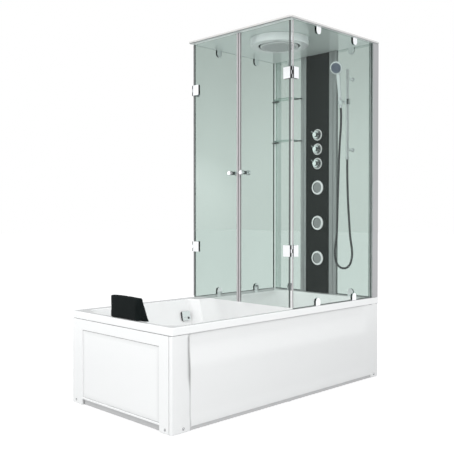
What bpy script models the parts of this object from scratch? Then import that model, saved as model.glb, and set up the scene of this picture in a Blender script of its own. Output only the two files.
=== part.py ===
"""A bath with a glass shower cabin over its far half, as an assembly of separate pieces.

Metres, +Z up. The origin is the middle of the footprint on the floor. X runs along the bath from the
headrest end to the shower column's end. The long front panel faces -Y and the room's wall is at +Y.
"""

import math

import bmesh
import bpy
from mathutils import Matrix, Vector

# The whole object
LENGTH = 1.700
WIDTH = 0.835
HEIGHT = 2.100

# Fits shared by all pieces
FIT = 0.0003
WELD = 0.00005
OVERRUN = 0.010

# Sides of round pieces, by their size
LARGE_ROUND = 32
MIDDLE_ROUND = 16
SMALL_ROUND = 12
BOLT_ROUND = 6

# Bath tub, one acrylic shell with a rolled rim
RIM_TOP = 0.500
RIM_SKIRT = 0.038
RIM_LIP = 0.004
RIM_ROLL = 0.008
RIM_CORNER = 0.012
FRONT_RIM = 0.035
HEAD_RIM = 0.035
REAR_RIM = 0.057
COLUMN_RIM = 0.118
SHOWER_LEDGE = 0.127
LEDGE_STEP_PLACE = 0.802
LEDGE_STEP_RUN = 0.044
BASIN_DEPTH = 0.400
BASIN_CORNER = 0.085
FLOOR_FILLET = 0.060
SIDE_SLOPE = 0.075
BACKREST_SLOPE = 0.220
FOOT_SLOPE = 0.040
SHELL = 0.005
CORNER_STEPS = 4
STEP_STEPS = 4
WALL_STEPS = 3
FILLET_STEPS = 3

# Steel base frame with its feet
RAIL_HEIGHT = 0.026
RAIL_WIDTH = 0.020
FOOT_HEIGHT = 0.003
FOOT_RADIUS = 0.018
BEARER_WIDTH = 0.030
UPRIGHT_WIDTH = 0.025
UPRIGHT_DEPTH = 0.008
UPRIGHT_CLEARANCE = 0.001
FRAME_END_INSET = 0.014
UPRIGHT_END_INSET = 0.060
BEARER_FROM_HEAD = 0.272
BEARER_BEFORE_DRAIN = 0.130
BEARER_AFTER_DRAIN = 0.380
BEARER_FROM_END = 0.204

# Panels below the rim
PANEL = 0.004
PANEL_INSET = 0.003
PANEL_CORNER = 0.012
PANEL_RETURN = 0.018
PANEL_LIFT = 0.003
POST_WIDTH = 0.120
POST_SWELL = 0.002
STILE_WIDTH = 0.082
CREASE_RUN = 0.004
COVE_DEPTH = 0.010
COVE_FADE = 0.110
COVE_POWER = 2.1
BASE_GAP_TOP = 0.034
END_PANEL = 0.008
END_RECESS = 0.004
END_RECESS_DRAFT = 0.003
END_STILE = 0.092
END_TOP_RAIL = 0.054
END_BASE_RAIL = 0.006

# Waste and overflow
DRAIN_PLACE = 0.742
DRAIN_Y = 0.060
FLANGE_RADIUS = 0.035
FLANGE_THICKNESS = 0.003
THROAT_RADIUS = 0.022
THROAT_DEPTH = 0.030
PLUG_RADIUS = 0.0205
PLUG_THICKNESS = 0.005
PLUG_STEM = 0.004
PLUG_STEM_LENGTH = 0.014
PLUG_TRAVEL = 0.010
WASTE_RADIUS = 0.026
PIPE_RADIUS = 0.016
PIPE_CENTRE_Z = 0.058
OUTLET_RADIUS = 0.020
OUTLET_LENGTH = 0.110
OVERFLOW_DROP = 0.100
OVERFLOW_COLLAR = 0.020
OVERFLOW_BODY = 0.024
OVERFLOW_BODY_DEPTH = 0.018
OVERFLOW_PIPE_BACK = 0.018
CAP_WIDTH = 0.066
CAP_HEIGHT = 0.058
CAP_THICKNESS = 0.014
CAP_CORNER = 0.010
CAP_SLOT_WIDTH = 0.044
CAP_SLOT_HEIGHT = 0.012
CAP_SLOT_DEPTH = 0.009
CAP_SLOT_RISE = 0.009

# Headrest, a wedge cushion on the head end's rim
REST_WIDTH = 0.234
REST_HEIGHT = 0.115
REST_TOP = 0.031
REST_FOOT = 0.075
REST_SEAT = 0.040
REST_DROP = 0.011
REST_INSET = 0.008
REST_Y = -0.035
REST_CROWN = 0.0035
REST_STEPS = 5

# Shower cabin: its roof, glass planes and end wall
CABIN_LENGTH = 0.858
DOOR_SETBACK = 0.030
ROOF_EDGE = 0.0105
ROOF_REBATE = 0.004
ROOF_REBATE_INSET = 0.004
ROOF_CORNER = 0.010
GLASS = 0.006
FRONT_GLASS_INSET = 0.018
REAR_GLASS_INSET = 0.0085
END_CAVITY = 0.0624

# Corner profiles at the column's end
CORNER_OUTSIDE = 0.0055
REAR_CORNER_OUTSIDE = 0.0022
CORNER_DEPTH = 0.024
CORNER_WALL = 0.0025
CORNER_END_GAP = 0.0025
GROOVE_DEPTH = 0.008
GROOVE_END_GAP = 0.0005
HOLDING_LIP = 0.010

# Column panel, its two profiles and what is behind it
COLUMN_WIDTH = 0.192
COLUMN_MIDDLE_Y = 0.016
COLUMN_PROUD = 0.005
COLUMN_PROFILE_FRONT = 0.056
COLUMN_PROFILE_REAR = 0.047
COLUMN_PROFILE_PROUD = 0.008
COLUMN_PROFILE_DEPTH = 0.022
CHANNEL_WIDTH = 0.003
CHANNEL_DEPTH = 0.002
CHANNEL_SHARE = 0.42
BLOCK_WIDTH = 0.070
BLOCK_DEPTH = 0.046
BLOCK_MARGIN = 0.034
HOUSING_RADIUS = 0.040
HOUSING_DEPTH = 0.026
RISER_RADIUS = 0.008
RISER_BACK = 0.030
TAIL_RADIUS = 0.012
TAIL_LENGTH = 0.040
TAIL_SPACING = 0.038

# Valve knobs
VALVE_RISE = 0.860
VALVE_SPACING = 0.0952
RING_RADIUS = 0.0375
RING_BORE = 0.0170
RING_PROUD = 0.007
RING_EDGE = 0.002
KNOB_BASE = 0.0290
KNOB_STEP = 0.0215
KNOB_CAP = 0.0160
KNOB_BASE_DEPTH = 0.008
KNOB_STEP_DEPTH = 0.010
KNOB_CAP_DEPTH = 0.012
KNOB_EDGE = 0.0015
STEM_RADIUS = 0.0150
STEM_REACH = 0.014
STEM_HOLE = 0.0165
PIN_RADIUS = 0.0025
PIN_REACH = 0.037
PIN_TILT = 40

# Body jets
JET_RISE = 0.230
JET_SPACING = 0.235
JET_RADIUS = 0.0475
JET_PROUD = 0.006
JET_BORE = 0.0330
JET_HOLE = 0.0340
NOZZLE_RADIUS = 0.0325
NOZZLE_THICKNESS = 0.012
NOZZLE_CROWN = 0.0015
NOZZLE_SINK = 0.003

# Door glass, its seals, knobs and hinges
DOOR_LIFT = 0.008
DOOR_HEAD_GAP = 0.004
MEETING_GAP = 0.0016
SEAL_WIDTH = 0.013
SEAL_THICKNESS = 0.012
SEAL_LIP = 0.008
KNOB_FROM_EDGE = 0.047
KNOB_RISE = 0.765
DOOR_KNOB_RADIUS = 0.014
DOOR_KNOB_LENGTH = 0.020
DOOR_NECK_RADIUS = 0.0075
DOOR_NECK_LENGTH = 0.011
DOOR_COLLAR_RADIUS = 0.010
DOOR_COLLAR_LENGTH = 0.004
DOOR_BOLT_RADIUS = 0.004
DOOR_BOLT_HOLE = 0.005
HINGE_REACH = 0.0113
HINGE_DOOR_WIDTH = 0.046
HINGE_FIXED_WIDTH = 0.038
HINGE_HEIGHT = 0.063
HINGE_PLATE = 0.0035
HINGE_WEB = 0.003
HINGE_ARM = 0.005
KNUCKLE_RADIUS = 0.0055
KNUCKLE_GAP = 0.0006
HINGE_PIN = 0.0025
HINGE_PIN_PLAY = 0.0003
HINGE_BOLT = 0.004
HINGE_BOLT_PLAY = 0.001
HINGE_BOLT_SHARE = 0.55
LOWER_HINGE_RISE = 0.320
UPPER_HINGE_DROP = 0.2885

# Glass clamps
CLAMP_WIDTH = 0.042
CLAMP_HEIGHT = 0.045
CLAMP_PLATE = 0.0035
CLAMP_ROUND = 0.019
CLAMP_BOLT = 0.005
CLAMP_BOLT_PLAY = 0.001
CLAMP_BOLT_RISE = 0.024
CLAMP_NEAR = 0.226
CLAMP_FAR = 0.580
END_CLAMP_REAR = 0.130
END_CLAMP_FRONT = 0.140

# Rain head under the roof
RAIN_TOWARDS_DOORS = 0.1048
RAIN_TOWARDS_FRONT = 0.0698
CANOPY_RADIUS = 0.178
CANOPY_BORE = 0.125
CANOPY_DEPTH = 0.048
CANOPY_EDGE = 0.006
RAIN_RADIUS = 0.1155
RAIN_THICKNESS = 0.014
RAIN_DROP = 0.003
RAIN_EDGE = 0.004
RAIN_STEM = 0.020

# Shelves in the rear corner
SHELF_LENGTH = 0.182
SHELF_FROM_PROFILE = 0.033
SHELF_END_DEPTH = 0.042
SHELF_BOW = 0.038
SHELF_GLASS = 0.006
LOWER_SHELF_DROP = 0.5575
UPPER_SHELF_DROP = 0.2715
BRACKET_REACH = 0.024
BRACKET_UNDER = 0.014
BRACKET_ROOT = 0.010
BRACKET_THICKNESS = 0.006

# Riser rail, slider, cradle and hand shower
RAIL_FROM_WALL = 0.060
RAIL_Y = -0.262
RAIL_TOP_DROP = 0.1495
RAIL_LENGTH = 0.550
RAIL_RADIUS = 0.009
LOWER_BRACKET_FROM_FOOT = 0.045
UPPER_BRACKET_FROM_TOP = 0.057
BRACKET_RADIUS = 0.008
BRACKET_FLANGE = 0.014
BRACKET_FLANGE_DEPTH = 0.005
OUTLET_NUT_RADIUS = 0.011
OUTLET_NUT_LENGTH = 0.018
SLIDER_DROP = 0.3535
SLIDER_RADIUS = 0.016
SLIDER_HEIGHT = 0.040
SLIDER_PLAY = 0.0005
ARM_RADIUS = 0.008
CRADLE_REACH = 0.049
CRADLE_OUTER = 0.0185
CRADLE_HEIGHT = 0.030
CRADLE_SLOT = 0.0155
CRADLE_NECK = 0.0065
CRADLE_NECK_GAP = 0.0005
SHOWER_TURN = 12
SHOWER_LEAN = 12
CONE_TOP = 0.0145
CONE_BOTTOM = 0.0115
CONE_PLAY = 0.0004
HANDLE_FOOT = 0.034
HANDLE_FOOT_RADIUS = 0.0095
HANDLE_WAIST = 0.0110
HANDLE_NECK = 0.0135
HANDLE_LENGTH = 0.185
HEAD_RADIUS = 0.042
HEAD_DEPTH = 0.024
HEAD_FACE = 0.034
HEAD_RISE = 0.219
HEAD_FORWARD = 0.012
HEAD_TILT = 10

# Shower hose, a ribbed metal hose with its bore
HOSE_RADIUS = 0.0070
HOSE_VALLEY_SHARE = 0.80
HOSE_BORE = 0.0042
HOSE_RIBS = 110
HOSE_BORE_POINTS = 41
HOSE_ROUTE = (
    (0.7390, -0.2050, 1.6350),
    (0.7400, -0.1930, 1.4500),
    (0.7380, -0.1830, 1.1500),
    (0.7365, -0.1765, 0.9000),
    (0.7363, -0.1672, 0.7320),
    (0.7366, -0.1789, 0.7035),
    (0.7369, -0.2007, 0.6839),
    (0.7370, -0.2297, 0.6770),
    (0.7369, -0.2582, 0.6850),
    (0.7366, -0.2784, 0.7043),
    (0.7363, -0.2899, 0.7345),
    (0.7330, -0.2800, 0.9000),
    (0.7290, -0.2670, 1.1200),
)

# Planes and places that follow from the sizes above
HEAD_X = -LENGTH / 2
END_X = LENGTH / 2
FRONT_Y = -WIDTH / 2
REAR_Y = WIDTH / 2
ROOF_UNDER = HEIGHT - ROOF_EDGE
CEILING = ROOF_UNDER - ROOF_REBATE
ROOF_X = END_X - CABIN_LENGTH
DOOR_X = ROOF_X + DOOR_SETBACK
FRONT_GLASS_Y = FRONT_Y + FRONT_GLASS_INSET
REAR_GLASS_Y = REAR_Y - REAR_GLASS_INSET
WALL_X = END_X - END_CAVITY
WALL_MID_X = WALL_X + GLASS / 2
GLASS_FOOT = RIM_TOP + FIT
GLASS_HEIGHT = CEILING - FIT - GLASS_FOOT
BASIN_FLOOR = RIM_TOP - BASIN_DEPTH
STEP_X = HEAD_X + LEDGE_STEP_PLACE
DRAIN_X = HEAD_X + DRAIN_PLACE
PANEL_TOP = RIM_TOP - RIM_SKIRT - FIT
PANEL_FACE_Y = FRONT_Y + PANEL_INSET
COLUMN_FACE_X = WALL_X - COLUMN_PROUD
COLUMN_BACK_X = COLUMN_FACE_X + GLASS
COLUMN_FRONT_Y = COLUMN_MIDDLE_Y - COLUMN_WIDTH / 2
COLUMN_REAR_Y = COLUMN_MIDDLE_Y + COLUMN_WIDTH / 2
FRONT_PROFILE_Y = COLUMN_FRONT_Y - COLUMN_PROFILE_FRONT
REAR_PROFILE_Y = COLUMN_REAR_Y + COLUMN_PROFILE_REAR
SHELF_Y = REAR_PROFILE_Y + SHELF_FROM_PROFILE
PROFILE_FACE_X = WALL_X - COLUMN_PROFILE_PROUD
RAIL_X = WALL_X - RAIL_FROM_WALL
RAIL_TOP = CEILING - RAIL_TOP_DROP
RAIL_FOOT = RAIL_TOP - RAIL_LENGTH
MEETING_Y = (FRONT_GLASS_Y + REAR_GLASS_Y) / 2
RAIN_X = (DOOR_X + WALL_X) / 2 - RAIN_TOWARDS_DOORS
RAIN_Y = MEETING_Y - RAIN_TOWARDS_FRONT
LOWER_HINGE_Z = RIM_TOP + LOWER_HINGE_RISE
UPPER_HINGE_Z = CEILING - UPPER_HINGE_DROP
DOOR_FOOT = RIM_TOP + DOOR_LIFT
DOOR_HEIGHT = CEILING - DOOR_HEAD_GAP - DOOR_FOOT
DOOR_WIDTH = MEETING_Y - FRONT_GLASS_Y - HINGE_REACH - MEETING_GAP / 2 - SEAL_WIDTH + SEAL_LIP
VALVE_HEIGHTS = tuple(RIM_TOP + VALVE_RISE + n * VALVE_SPACING for n in range(3))
JET_HEIGHTS = tuple(RIM_TOP + JET_RISE + n * JET_SPACING for n in range(3))
FRONT_FACING = (math.radians(90), 0, 0)
SIDE_FACING = (math.radians(90), 0, math.radians(90))
OUT_OF_COLUMN = (0, math.radians(-90), 0)

# Looks: base colour, roughness, metallic, alpha
ACRYLIC = ((0.86, 0.87, 0.87), 0.12, 0.0, 1.0)
CLEAR_GLASS = ((0.72, 0.80, 0.77), 0.04, 0.0, 0.35)
BLACK_GLASS = ((0.030, 0.038, 0.036), 0.10, 0.0, 1.0)
CHROME = ((0.80, 0.80, 0.81), 0.08, 1.0, 1.0)
ALUMINIUM = ((0.48, 0.48, 0.49), 0.30, 1.0, 1.0)
DARK_PROFILE = ((0.060, 0.070, 0.068), 0.40, 0.0, 1.0)
STEEL = ((0.42, 0.42, 0.43), 0.45, 1.0, 1.0)
PLASTIC = ((0.66, 0.66, 0.66), 0.40, 0.0, 1.0)
CUSHION = ((0.010, 0.012, 0.012), 0.55, 0.0, 1.0)
SEAL = ((0.50, 0.46, 0.48), 0.35, 0.0, 1.0)
NOZZLE = ((0.36, 0.38, 0.38), 0.40, 0.0, 1.0)


def start_empty():
    """Clears the scene and makes one collection for the pieces and one for the cutting shapes."""
    for old in list(bpy.data.objects):
        bpy.data.objects.remove(old)
    for name in ("shower_cabin", "cutters"):
        group = bpy.data.collections.new(name)
        bpy.context.scene.collection.children.link(group)


def surface(name, look):
    """A Principled material for one piece."""
    colour, roughness, metallic, alpha = look
    material = bpy.data.materials.new(name)
    material.use_nodes = True
    shader = material.node_tree.nodes["Principled BSDF"]
    shader.inputs["Base Color"].default_value = (*colour, 1.0)
    shader.inputs["Roughness"].default_value = roughness
    shader.inputs["Metallic"].default_value = metallic
    shader.inputs["Alpha"].default_value = alpha
    material.diffuse_color = (*colour, alpha)
    return material


def place(name, mesh, look, location=(0, 0, 0), rotation=(0, 0, 0), parent=None):
    """Puts a mesh into the assembly as one named piece with its own material."""
    mesh.materials.clear()
    mesh.materials.append(surface(name + "_surface", look))
    part = bpy.data.objects.new(name, mesh)
    part.location = location
    part.rotation_euler = rotation
    part.parent = parent
    bpy.data.collections["shower_cabin"].objects.link(part)
    return part


def helper(name, mesh, location=(0, 0, 0), rotation=(0, 0, 0), parent=None):
    """A shape that cuts or joins a piece and isn't part of the model itself."""
    shape = bpy.data.objects.new(name, mesh)
    shape.location = location
    shape.rotation_euler = rotation
    shape.parent = parent
    shape.hide_render = True
    shape.display_type = "WIRE"
    bpy.data.collections["cutters"].objects.link(shape)
    return shape


def pivot(name, location, rotation=(0, 0, 0), parent=None):
    """An empty on a joint's axis, which carries the pieces that move with it."""
    empty = bpy.data.objects.new(name, None)
    empty.location = location
    empty.rotation_euler = rotation
    empty.parent = parent
    bpy.data.collections["shower_cabin"].objects.link(empty)
    return empty


def combine(part, shape, operation):
    """Adds one Boolean step to a piece."""
    step = part.modifiers.new(shape.name, "BOOLEAN")
    step.operation = operation
    step.solver = "EXACT"
    step.object = shape
    return step


def cut(part, shape):
    """Takes a shape out of a piece."""
    return combine(part, shape, "DIFFERENCE")


def join(part, shape):
    """Fuses a shape to a piece."""
    return combine(part, shape, "UNION")


def soften(part, width, segments=2, angle=40):
    """Rounds the edges that are sharper than an angle."""
    bevel = part.modifiers.new("Edges", "BEVEL")
    bevel.width = width
    bevel.segments = segments
    bevel.limit_method = "ANGLE"
    bevel.angle_limit = math.radians(angle)
    return bevel


def box_mesh(name, size):
    """A box of a given size, centred on its own origin."""
    mesh = bpy.data.meshes.new(name)
    solid = bmesh.new()
    bmesh.ops.create_cube(solid, size=1)
    bmesh.ops.scale(solid, vec=size, verts=solid.verts)
    solid.to_mesh(mesh)
    solid.free()
    return mesh


def rod_mesh(name, radius, length, steps=MIDDLE_ROUND):
    """A round bar along Z, centred on its own origin."""
    mesh = bpy.data.meshes.new(name)
    solid = bmesh.new()
    bmesh.ops.create_cone(solid, cap_ends=True, segments=steps, radius1=radius, radius2=radius, depth=length)
    solid.to_mesh(mesh)
    solid.free()
    mesh.shade_smooth()
    mesh.set_sharp_from_angle(angle=math.radians(40))
    return mesh


def span_box(name, low, high, parent=None):
    """A helper box between two opposite corners."""
    size = [b - a for a, b in zip(low, high)]
    middle = [(a + b) / 2 for a, b in zip(low, high)]
    return helper(name, box_mesh(name, size), middle, parent=parent)


def mesh_from(guide):
    """The welded mesh of a curve object, which is then removed."""
    graph = bpy.context.evaluated_depsgraph_get()
    mesh = bpy.data.meshes.new_from_object(guide.evaluated_get(graph))
    solid = bmesh.new()
    solid.from_mesh(mesh)
    bmesh.ops.remove_doubles(solid, verts=solid.verts, dist=WELD)
    bmesh.ops.recalc_face_normals(solid, faces=solid.faces)
    solid.to_mesh(mesh)
    solid.free()
    bpy.data.objects.remove(guide)
    return mesh


def plate_mesh(name, outline, thickness, holes=()):
    """A flat plate in its own XY plane, centred on it, with an outline and holes through it."""
    curve = bpy.data.curves.new(name, "CURVE")
    curve.dimensions = "2D"
    curve.fill_mode = "BOTH"
    curve.extrude = thickness / 2
    for ring in (outline, *holes):
        spline = curve.splines.new("POLY")
        spline.points.add(len(ring) - 1)
        for point, (along, across) in zip(spline.points, ring):
            point.co = (along, across, 0, 1)
        spline.use_cyclic_u = True
    guide = bpy.data.objects.new(name, curve)
    bpy.data.collections["cutters"].objects.link(guide)
    mesh = mesh_from(guide)
    mesh.shade_smooth()
    mesh.set_sharp_from_angle(angle=math.radians(35))
    return mesh


def tube_mesh(name, points, radius, resolution=2, radii=None):
    """A round tube through a row of points, with its ends capped."""
    curve = bpy.data.curves.new(name, "CURVE")
    curve.dimensions = "3D"
    curve.bevel_depth = radius
    curve.bevel_resolution = resolution
    curve.use_fill_caps = True
    spline = curve.splines.new("POLY")
    spline.points.add(len(points) - 1)
    for number, place_on_route in enumerate(points):
        spline.points[number].co = (*place_on_route, 1)
        if radii:
            spline.points[number].radius = radii[number]
    guide = bpy.data.objects.new(name, curve)
    bpy.data.collections["cutters"].objects.link(guide)
    mesh = mesh_from(guide)
    mesh.shade_smooth()
    mesh.set_sharp_from_angle(angle=math.radians(50))
    return mesh


def profile_mesh(name, profile, closed=False):
    """The wire of a turned shape: (radius, height) pairs that run down its outer side."""
    mesh = bpy.data.meshes.new(name)
    wires = [(n, n + 1) for n in range(len(profile) - 1)]
    if closed:
        wires.append((len(profile) - 1, 0))
    mesh.from_pydata([(radius, 0, height) for radius, height in profile], wires, [])
    return mesh


def turn(part, steps=MIDDLE_ROUND):
    """Turns a piece's profile about its own Z axis."""
    screw = part.modifiers.new("Turn", "SCREW")
    screw.axis = "Z"
    screw.steps = steps
    screw.render_steps = steps
    screw.use_merge_vertices = True
    screw.merge_threshold = WELD
    screw.use_smooth_shade = True
    return part


def circle(along, across, radius, steps=BOLT_ROUND):
    """Points of a round hole or outline."""
    angles = [math.tau * n / steps for n in range(steps)]
    return [(along + radius * math.cos(a), across + radius * math.sin(a)) for a in angles]


def corner(along, across, radius, start, steps=4):
    """A quarter circle about a centre, from a start angle in degrees."""
    angles = [math.radians(start + 90 * n / steps) for n in range(steps + 1)]
    return [(along + radius * math.cos(a), across + radius * math.sin(a)) for a in angles]


def rounded(width, height, radius, steps=3):
    """A rectangle with round corners, centred on the origin."""
    along = width / 2 - radius
    across = height / 2 - radius
    return (corner(along, across, radius, 0, steps) + corner(-along, across, radius, 90, steps)
            + corner(-along, -across, radius, 180, steps) + corner(along, -across, radius, 270, steps))


def smooth(share):
    """An S-shaped step from 0 to 1."""
    share = min(max(share, 0), 1)
    return share * share * (3 - 2 * share)


def outer_ring(inset, z):
    """One ring of points round the tub's outer face, numbered like the basin's rings."""
    left = HEAD_X + inset
    right = END_X - inset
    front = FRONT_Y + inset
    rear = REAR_Y - inset
    radius = RIM_CORNER - inset
    points = corner(left + radius, front + radius, radius, 180, CORNER_STEPS)
    points += corner(right - radius, front + radius, radius, 270, CORNER_STEPS)
    points += corner(right - radius, rear - radius, radius, 0, CORNER_STEPS)
    for n in range(STEP_STEPS + 1):
        share = n / STEP_STEPS
        points.append((STEP_X + LEDGE_STEP_RUN * (1 / 2 - share), rear))
    points += corner(left + radius, rear - radius, radius, 90, CORNER_STEPS)
    return [(x, y, z) for x, y in points]


def basin_ring(inset, head_inset, foot_inset, z, radius):
    """One ring of points round the basin, with the step to the wider ledge behind the shower."""
    left = HEAD_X + HEAD_RIM + head_inset
    right = END_X - COLUMN_RIM - foot_inset
    front = FRONT_Y + FRONT_RIM + inset
    rear = REAR_Y - REAR_RIM - inset
    ledge = REAR_Y - SHOWER_LEDGE - inset
    points = corner(left + radius, front + radius, radius, 180, CORNER_STEPS)
    points += corner(right - radius, front + radius, radius, 270, CORNER_STEPS)
    points += corner(right - radius, ledge - radius, radius, 0, CORNER_STEPS)
    for n in range(STEP_STEPS + 1):
        share = n / STEP_STEPS
        along = STEP_X + LEDGE_STEP_RUN * (1 / 2 - share)
        points.append((along, ledge + (rear - ledge) * smooth(share)))
    points += corner(left + radius, rear - radius, radius, 90, CORNER_STEPS)
    return [(x, y, z) for x, y in points]


def wall_point(share):
    """The basin wall's inset at a share of its depth: (side, backrest, foot end)."""
    return (SIDE_SLOPE * share, BACKREST_SLOPE * share ** 1.6, FOOT_SLOPE * share)


def tub_rings():
    """All rings of the tub, from the skirt's lower edge over the rim and down to the floor."""
    rings = [outer_ring(0, RIM_TOP - RIM_SKIRT)]
    for n in range(3):
        angle = math.radians(45 * n)
        inset = RIM_LIP * (1 - math.cos(angle))
        rings.append(outer_ring(inset, RIM_TOP - RIM_LIP * (1 - math.sin(angle))))
    for n in range(3):
        angle = math.radians(45 * n)
        inset = -RIM_ROLL * (1 - math.sin(angle))
        height = RIM_TOP - RIM_ROLL * (1 - math.cos(angle))
        rings.append(basin_ring(inset, inset, inset, height, BASIN_CORNER - inset))
    top = RIM_TOP - RIM_ROLL
    bottom = BASIN_FLOOR + FLOOR_FILLET
    for n in range(1, WALL_STEPS + 1):
        share = n / WALL_STEPS
        side, head, foot = wall_point(share)
        rings.append(basin_ring(side, head, foot, top + (bottom - top) * share, BASIN_CORNER))
    side, head, foot = wall_point(1)
    for n in range(1, FILLET_STEPS + 1):
        angle = math.radians(90 * n / FILLET_STEPS)
        inward = FLOOR_FILLET * (1 - math.cos(angle))
        height = BASIN_FLOOR + FLOOR_FILLET * (1 - math.sin(angle))
        rings.append(basin_ring(side + inward, head + inward, foot + inward, height, BASIN_CORNER))
    return rings


def wall_place(height):
    """The rear wall's inner face at a height: its Y, and its lean from upright in radians."""
    run = RIM_TOP - RIM_ROLL - BASIN_FLOOR - FLOOR_FILLET
    share = (RIM_TOP - RIM_ROLL - height) / run
    return REAR_Y - REAR_RIM - SIDE_SLOPE * share, math.atan2(SIDE_SLOPE, run)


def build_tub():
    """The bath tub: a loft between the outer outline and the basin's, made a shell."""
    rings = tub_rings()
    mesh = bpy.data.meshes.new("tub_basin")
    shell = bmesh.new()
    rows = [[shell.verts.new(point) for point in ring] for ring in rings]
    count = len(rows[0])
    for upper, lower in zip(rows, rows[1:]):
        for n in range(count):
            beside = (n + 1) % count
            shell.faces.new((upper[n], upper[beside], lower[beside], lower[n]))
    shell.faces.new(rows[-1])
    bmesh.ops.recalc_face_normals(shell, faces=shell.faces)
    shell.faces.ensure_lookup_table()
    if shell.faces[len(shell.faces) - 1].normal.z < 0:
        bmesh.ops.reverse_faces(shell, faces=shell.faces)
    shell.to_mesh(mesh)
    shell.free()
    mesh.shade_smooth()
    mesh.set_sharp_from_angle(angle=math.radians(50))
    tub = place("tub_basin", mesh, ACRYLIC)
    wall = tub.modifiers.new("Shell", "SOLIDIFY")
    wall.thickness = SHELL
    wall.offset = -1
    wall.use_even_offset = True
    hole = rod_mesh("drain_hole", THROAT_RADIUS + HINGE_BOLT_PLAY + SHELL, SHELL + OVERRUN, SMALL_ROUND)
    cut(tub, helper("drain_hole", hole, (DRAIN_X, DRAIN_Y, BASIN_FLOOR - SHELL / 2)))
    y, lean = wall_place(RIM_TOP - OVERFLOW_DROP)
    hole = rod_mesh("overflow_hole", OVERFLOW_COLLAR + HINGE_BOLT_PLAY, SHELL + OVERRUN, SMALL_ROUND)
    at = (DRAIN_X, y, RIM_TOP - OVERFLOW_DROP)
    cut(tub, helper("overflow_hole", hole, at, (math.radians(90) - lean, 0, 0)))


def build_frame():
    """The welded base frame: rails, cross bearers, uprights and feet in one piece."""
    rail_low = FOOT_HEIGHT
    rail_top = FOOT_HEIGHT + RAIL_HEIGHT
    front = PANEL_FACE_Y + PANEL + PANEL_LIFT / 3
    ends = (HEAD_X + FRAME_END_INSET, END_X - FRAME_END_INSET)
    rail_length = ends[1] - ends[0]
    middle_z = (rail_low + rail_top) / 2
    size = (rail_length, RAIL_WIDTH, RAIL_HEIGHT)
    base = (0, front + RAIL_WIDTH / 2, middle_z)
    frame = place("base_frame", box_mesh("base_frame", size), STEEL, base)
    low = (ends[0], -front - RAIL_WIDTH, rail_low)
    join(frame, span_box("rear_rail", low, (ends[1], -front, rail_top)))
    for number, x in enumerate((ends[0], ends[1] - RAIL_WIDTH)):
        low = (x, front + RAIL_WIDTH / 2, rail_low)
        high = (x + RAIL_WIDTH, -front - RAIL_WIDTH / 2, rail_top)
        join(frame, span_box(f"end_rail_{number}", low, high))
    bearer_top = BASIN_FLOOR - SHELL - FIT
    bearers = (HEAD_X + BEARER_FROM_HEAD, DRAIN_X - BEARER_BEFORE_DRAIN,
               DRAIN_X + BEARER_AFTER_DRAIN, END_X - BEARER_FROM_END)
    for number, x in enumerate(bearers):
        low = (x - BEARER_WIDTH / 2, front + RAIL_WIDTH / 2, rail_low + FIT)
        high = (x + BEARER_WIDTH / 2, -front - RAIL_WIDTH / 2, bearer_top)
        join(frame, span_box(f"bearer_{number}", low, high))
    top = RIM_TOP - SHELL - FIT
    spots = (HEAD_X + UPRIGHT_END_INSET, 0, END_X - UPRIGHT_END_INSET)
    for number, x in enumerate(spots):
        near = PANEL_FACE_Y + PANEL + COVE_DEPTH + UPRIGHT_CLEARANCE + UPRIGHT_DEPTH / 2
        for side, y in (("front", near), ("rear", -near)):
            low = (x - UPRIGHT_WIDTH / 2, y - UPRIGHT_DEPTH / 2, rail_low + RAIL_HEIGHT / 2)
            high = (x + UPRIGHT_WIDTH / 2, y + UPRIGHT_DEPTH / 2, top)
            join(frame, span_box(f"upright_{side}_{number}", low, high))
            reach = FOOT_HEIGHT + RAIL_HEIGHT / 2
            foot = rod_mesh(f"foot_{side}_{number}", FOOT_RADIUS, reach, SMALL_ROUND)
            at = (x, math.copysign(-front - FOOT_RADIUS, y), reach / 2)
            join(frame, helper(f"foot_{side}_{number}", foot, at))


def front_stations():
    """Plan points of the front panel's face with the share of the cove's depth at each."""
    left = HEAD_X + FIT
    right = END_X - FIT
    face = PANEL_FACE_Y
    post = HEAD_X + POST_WIDTH
    stile = END_X - STILE_WIDTH
    stations = [(left, face + PANEL_RETURN, 0)]
    centre = (left + PANEL_CORNER, face + PANEL_CORNER)
    stations += [(x, y, 0) for x, y in corner(*centre, PANEL_CORNER, 180, 3)]
    for n in range(1, 6):
        share = n / 5
        x = left + PANEL_CORNER + (post - left - PANEL_CORNER) * share
        stations.append((x, face - POST_SWELL * math.sin(math.pi * share), 0))
    flat_end = stile - COVE_FADE
    for n in range(4):
        stations.append((post + CREASE_RUN + (flat_end - post - CREASE_RUN) * n / 3, face, 1))
    for n in range(1, 7):
        stations.append((flat_end + COVE_FADE * n / 6, face, 1 - smooth(n / 6)))
    centre = (right - PANEL_CORNER, face + PANEL_CORNER)
    stations += [(x, y, 0) for x, y in corner(*centre, PANEL_CORNER, 270, 3)]
    stations.append((right, face + PANEL_RETURN, 0))
    return stations


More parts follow.
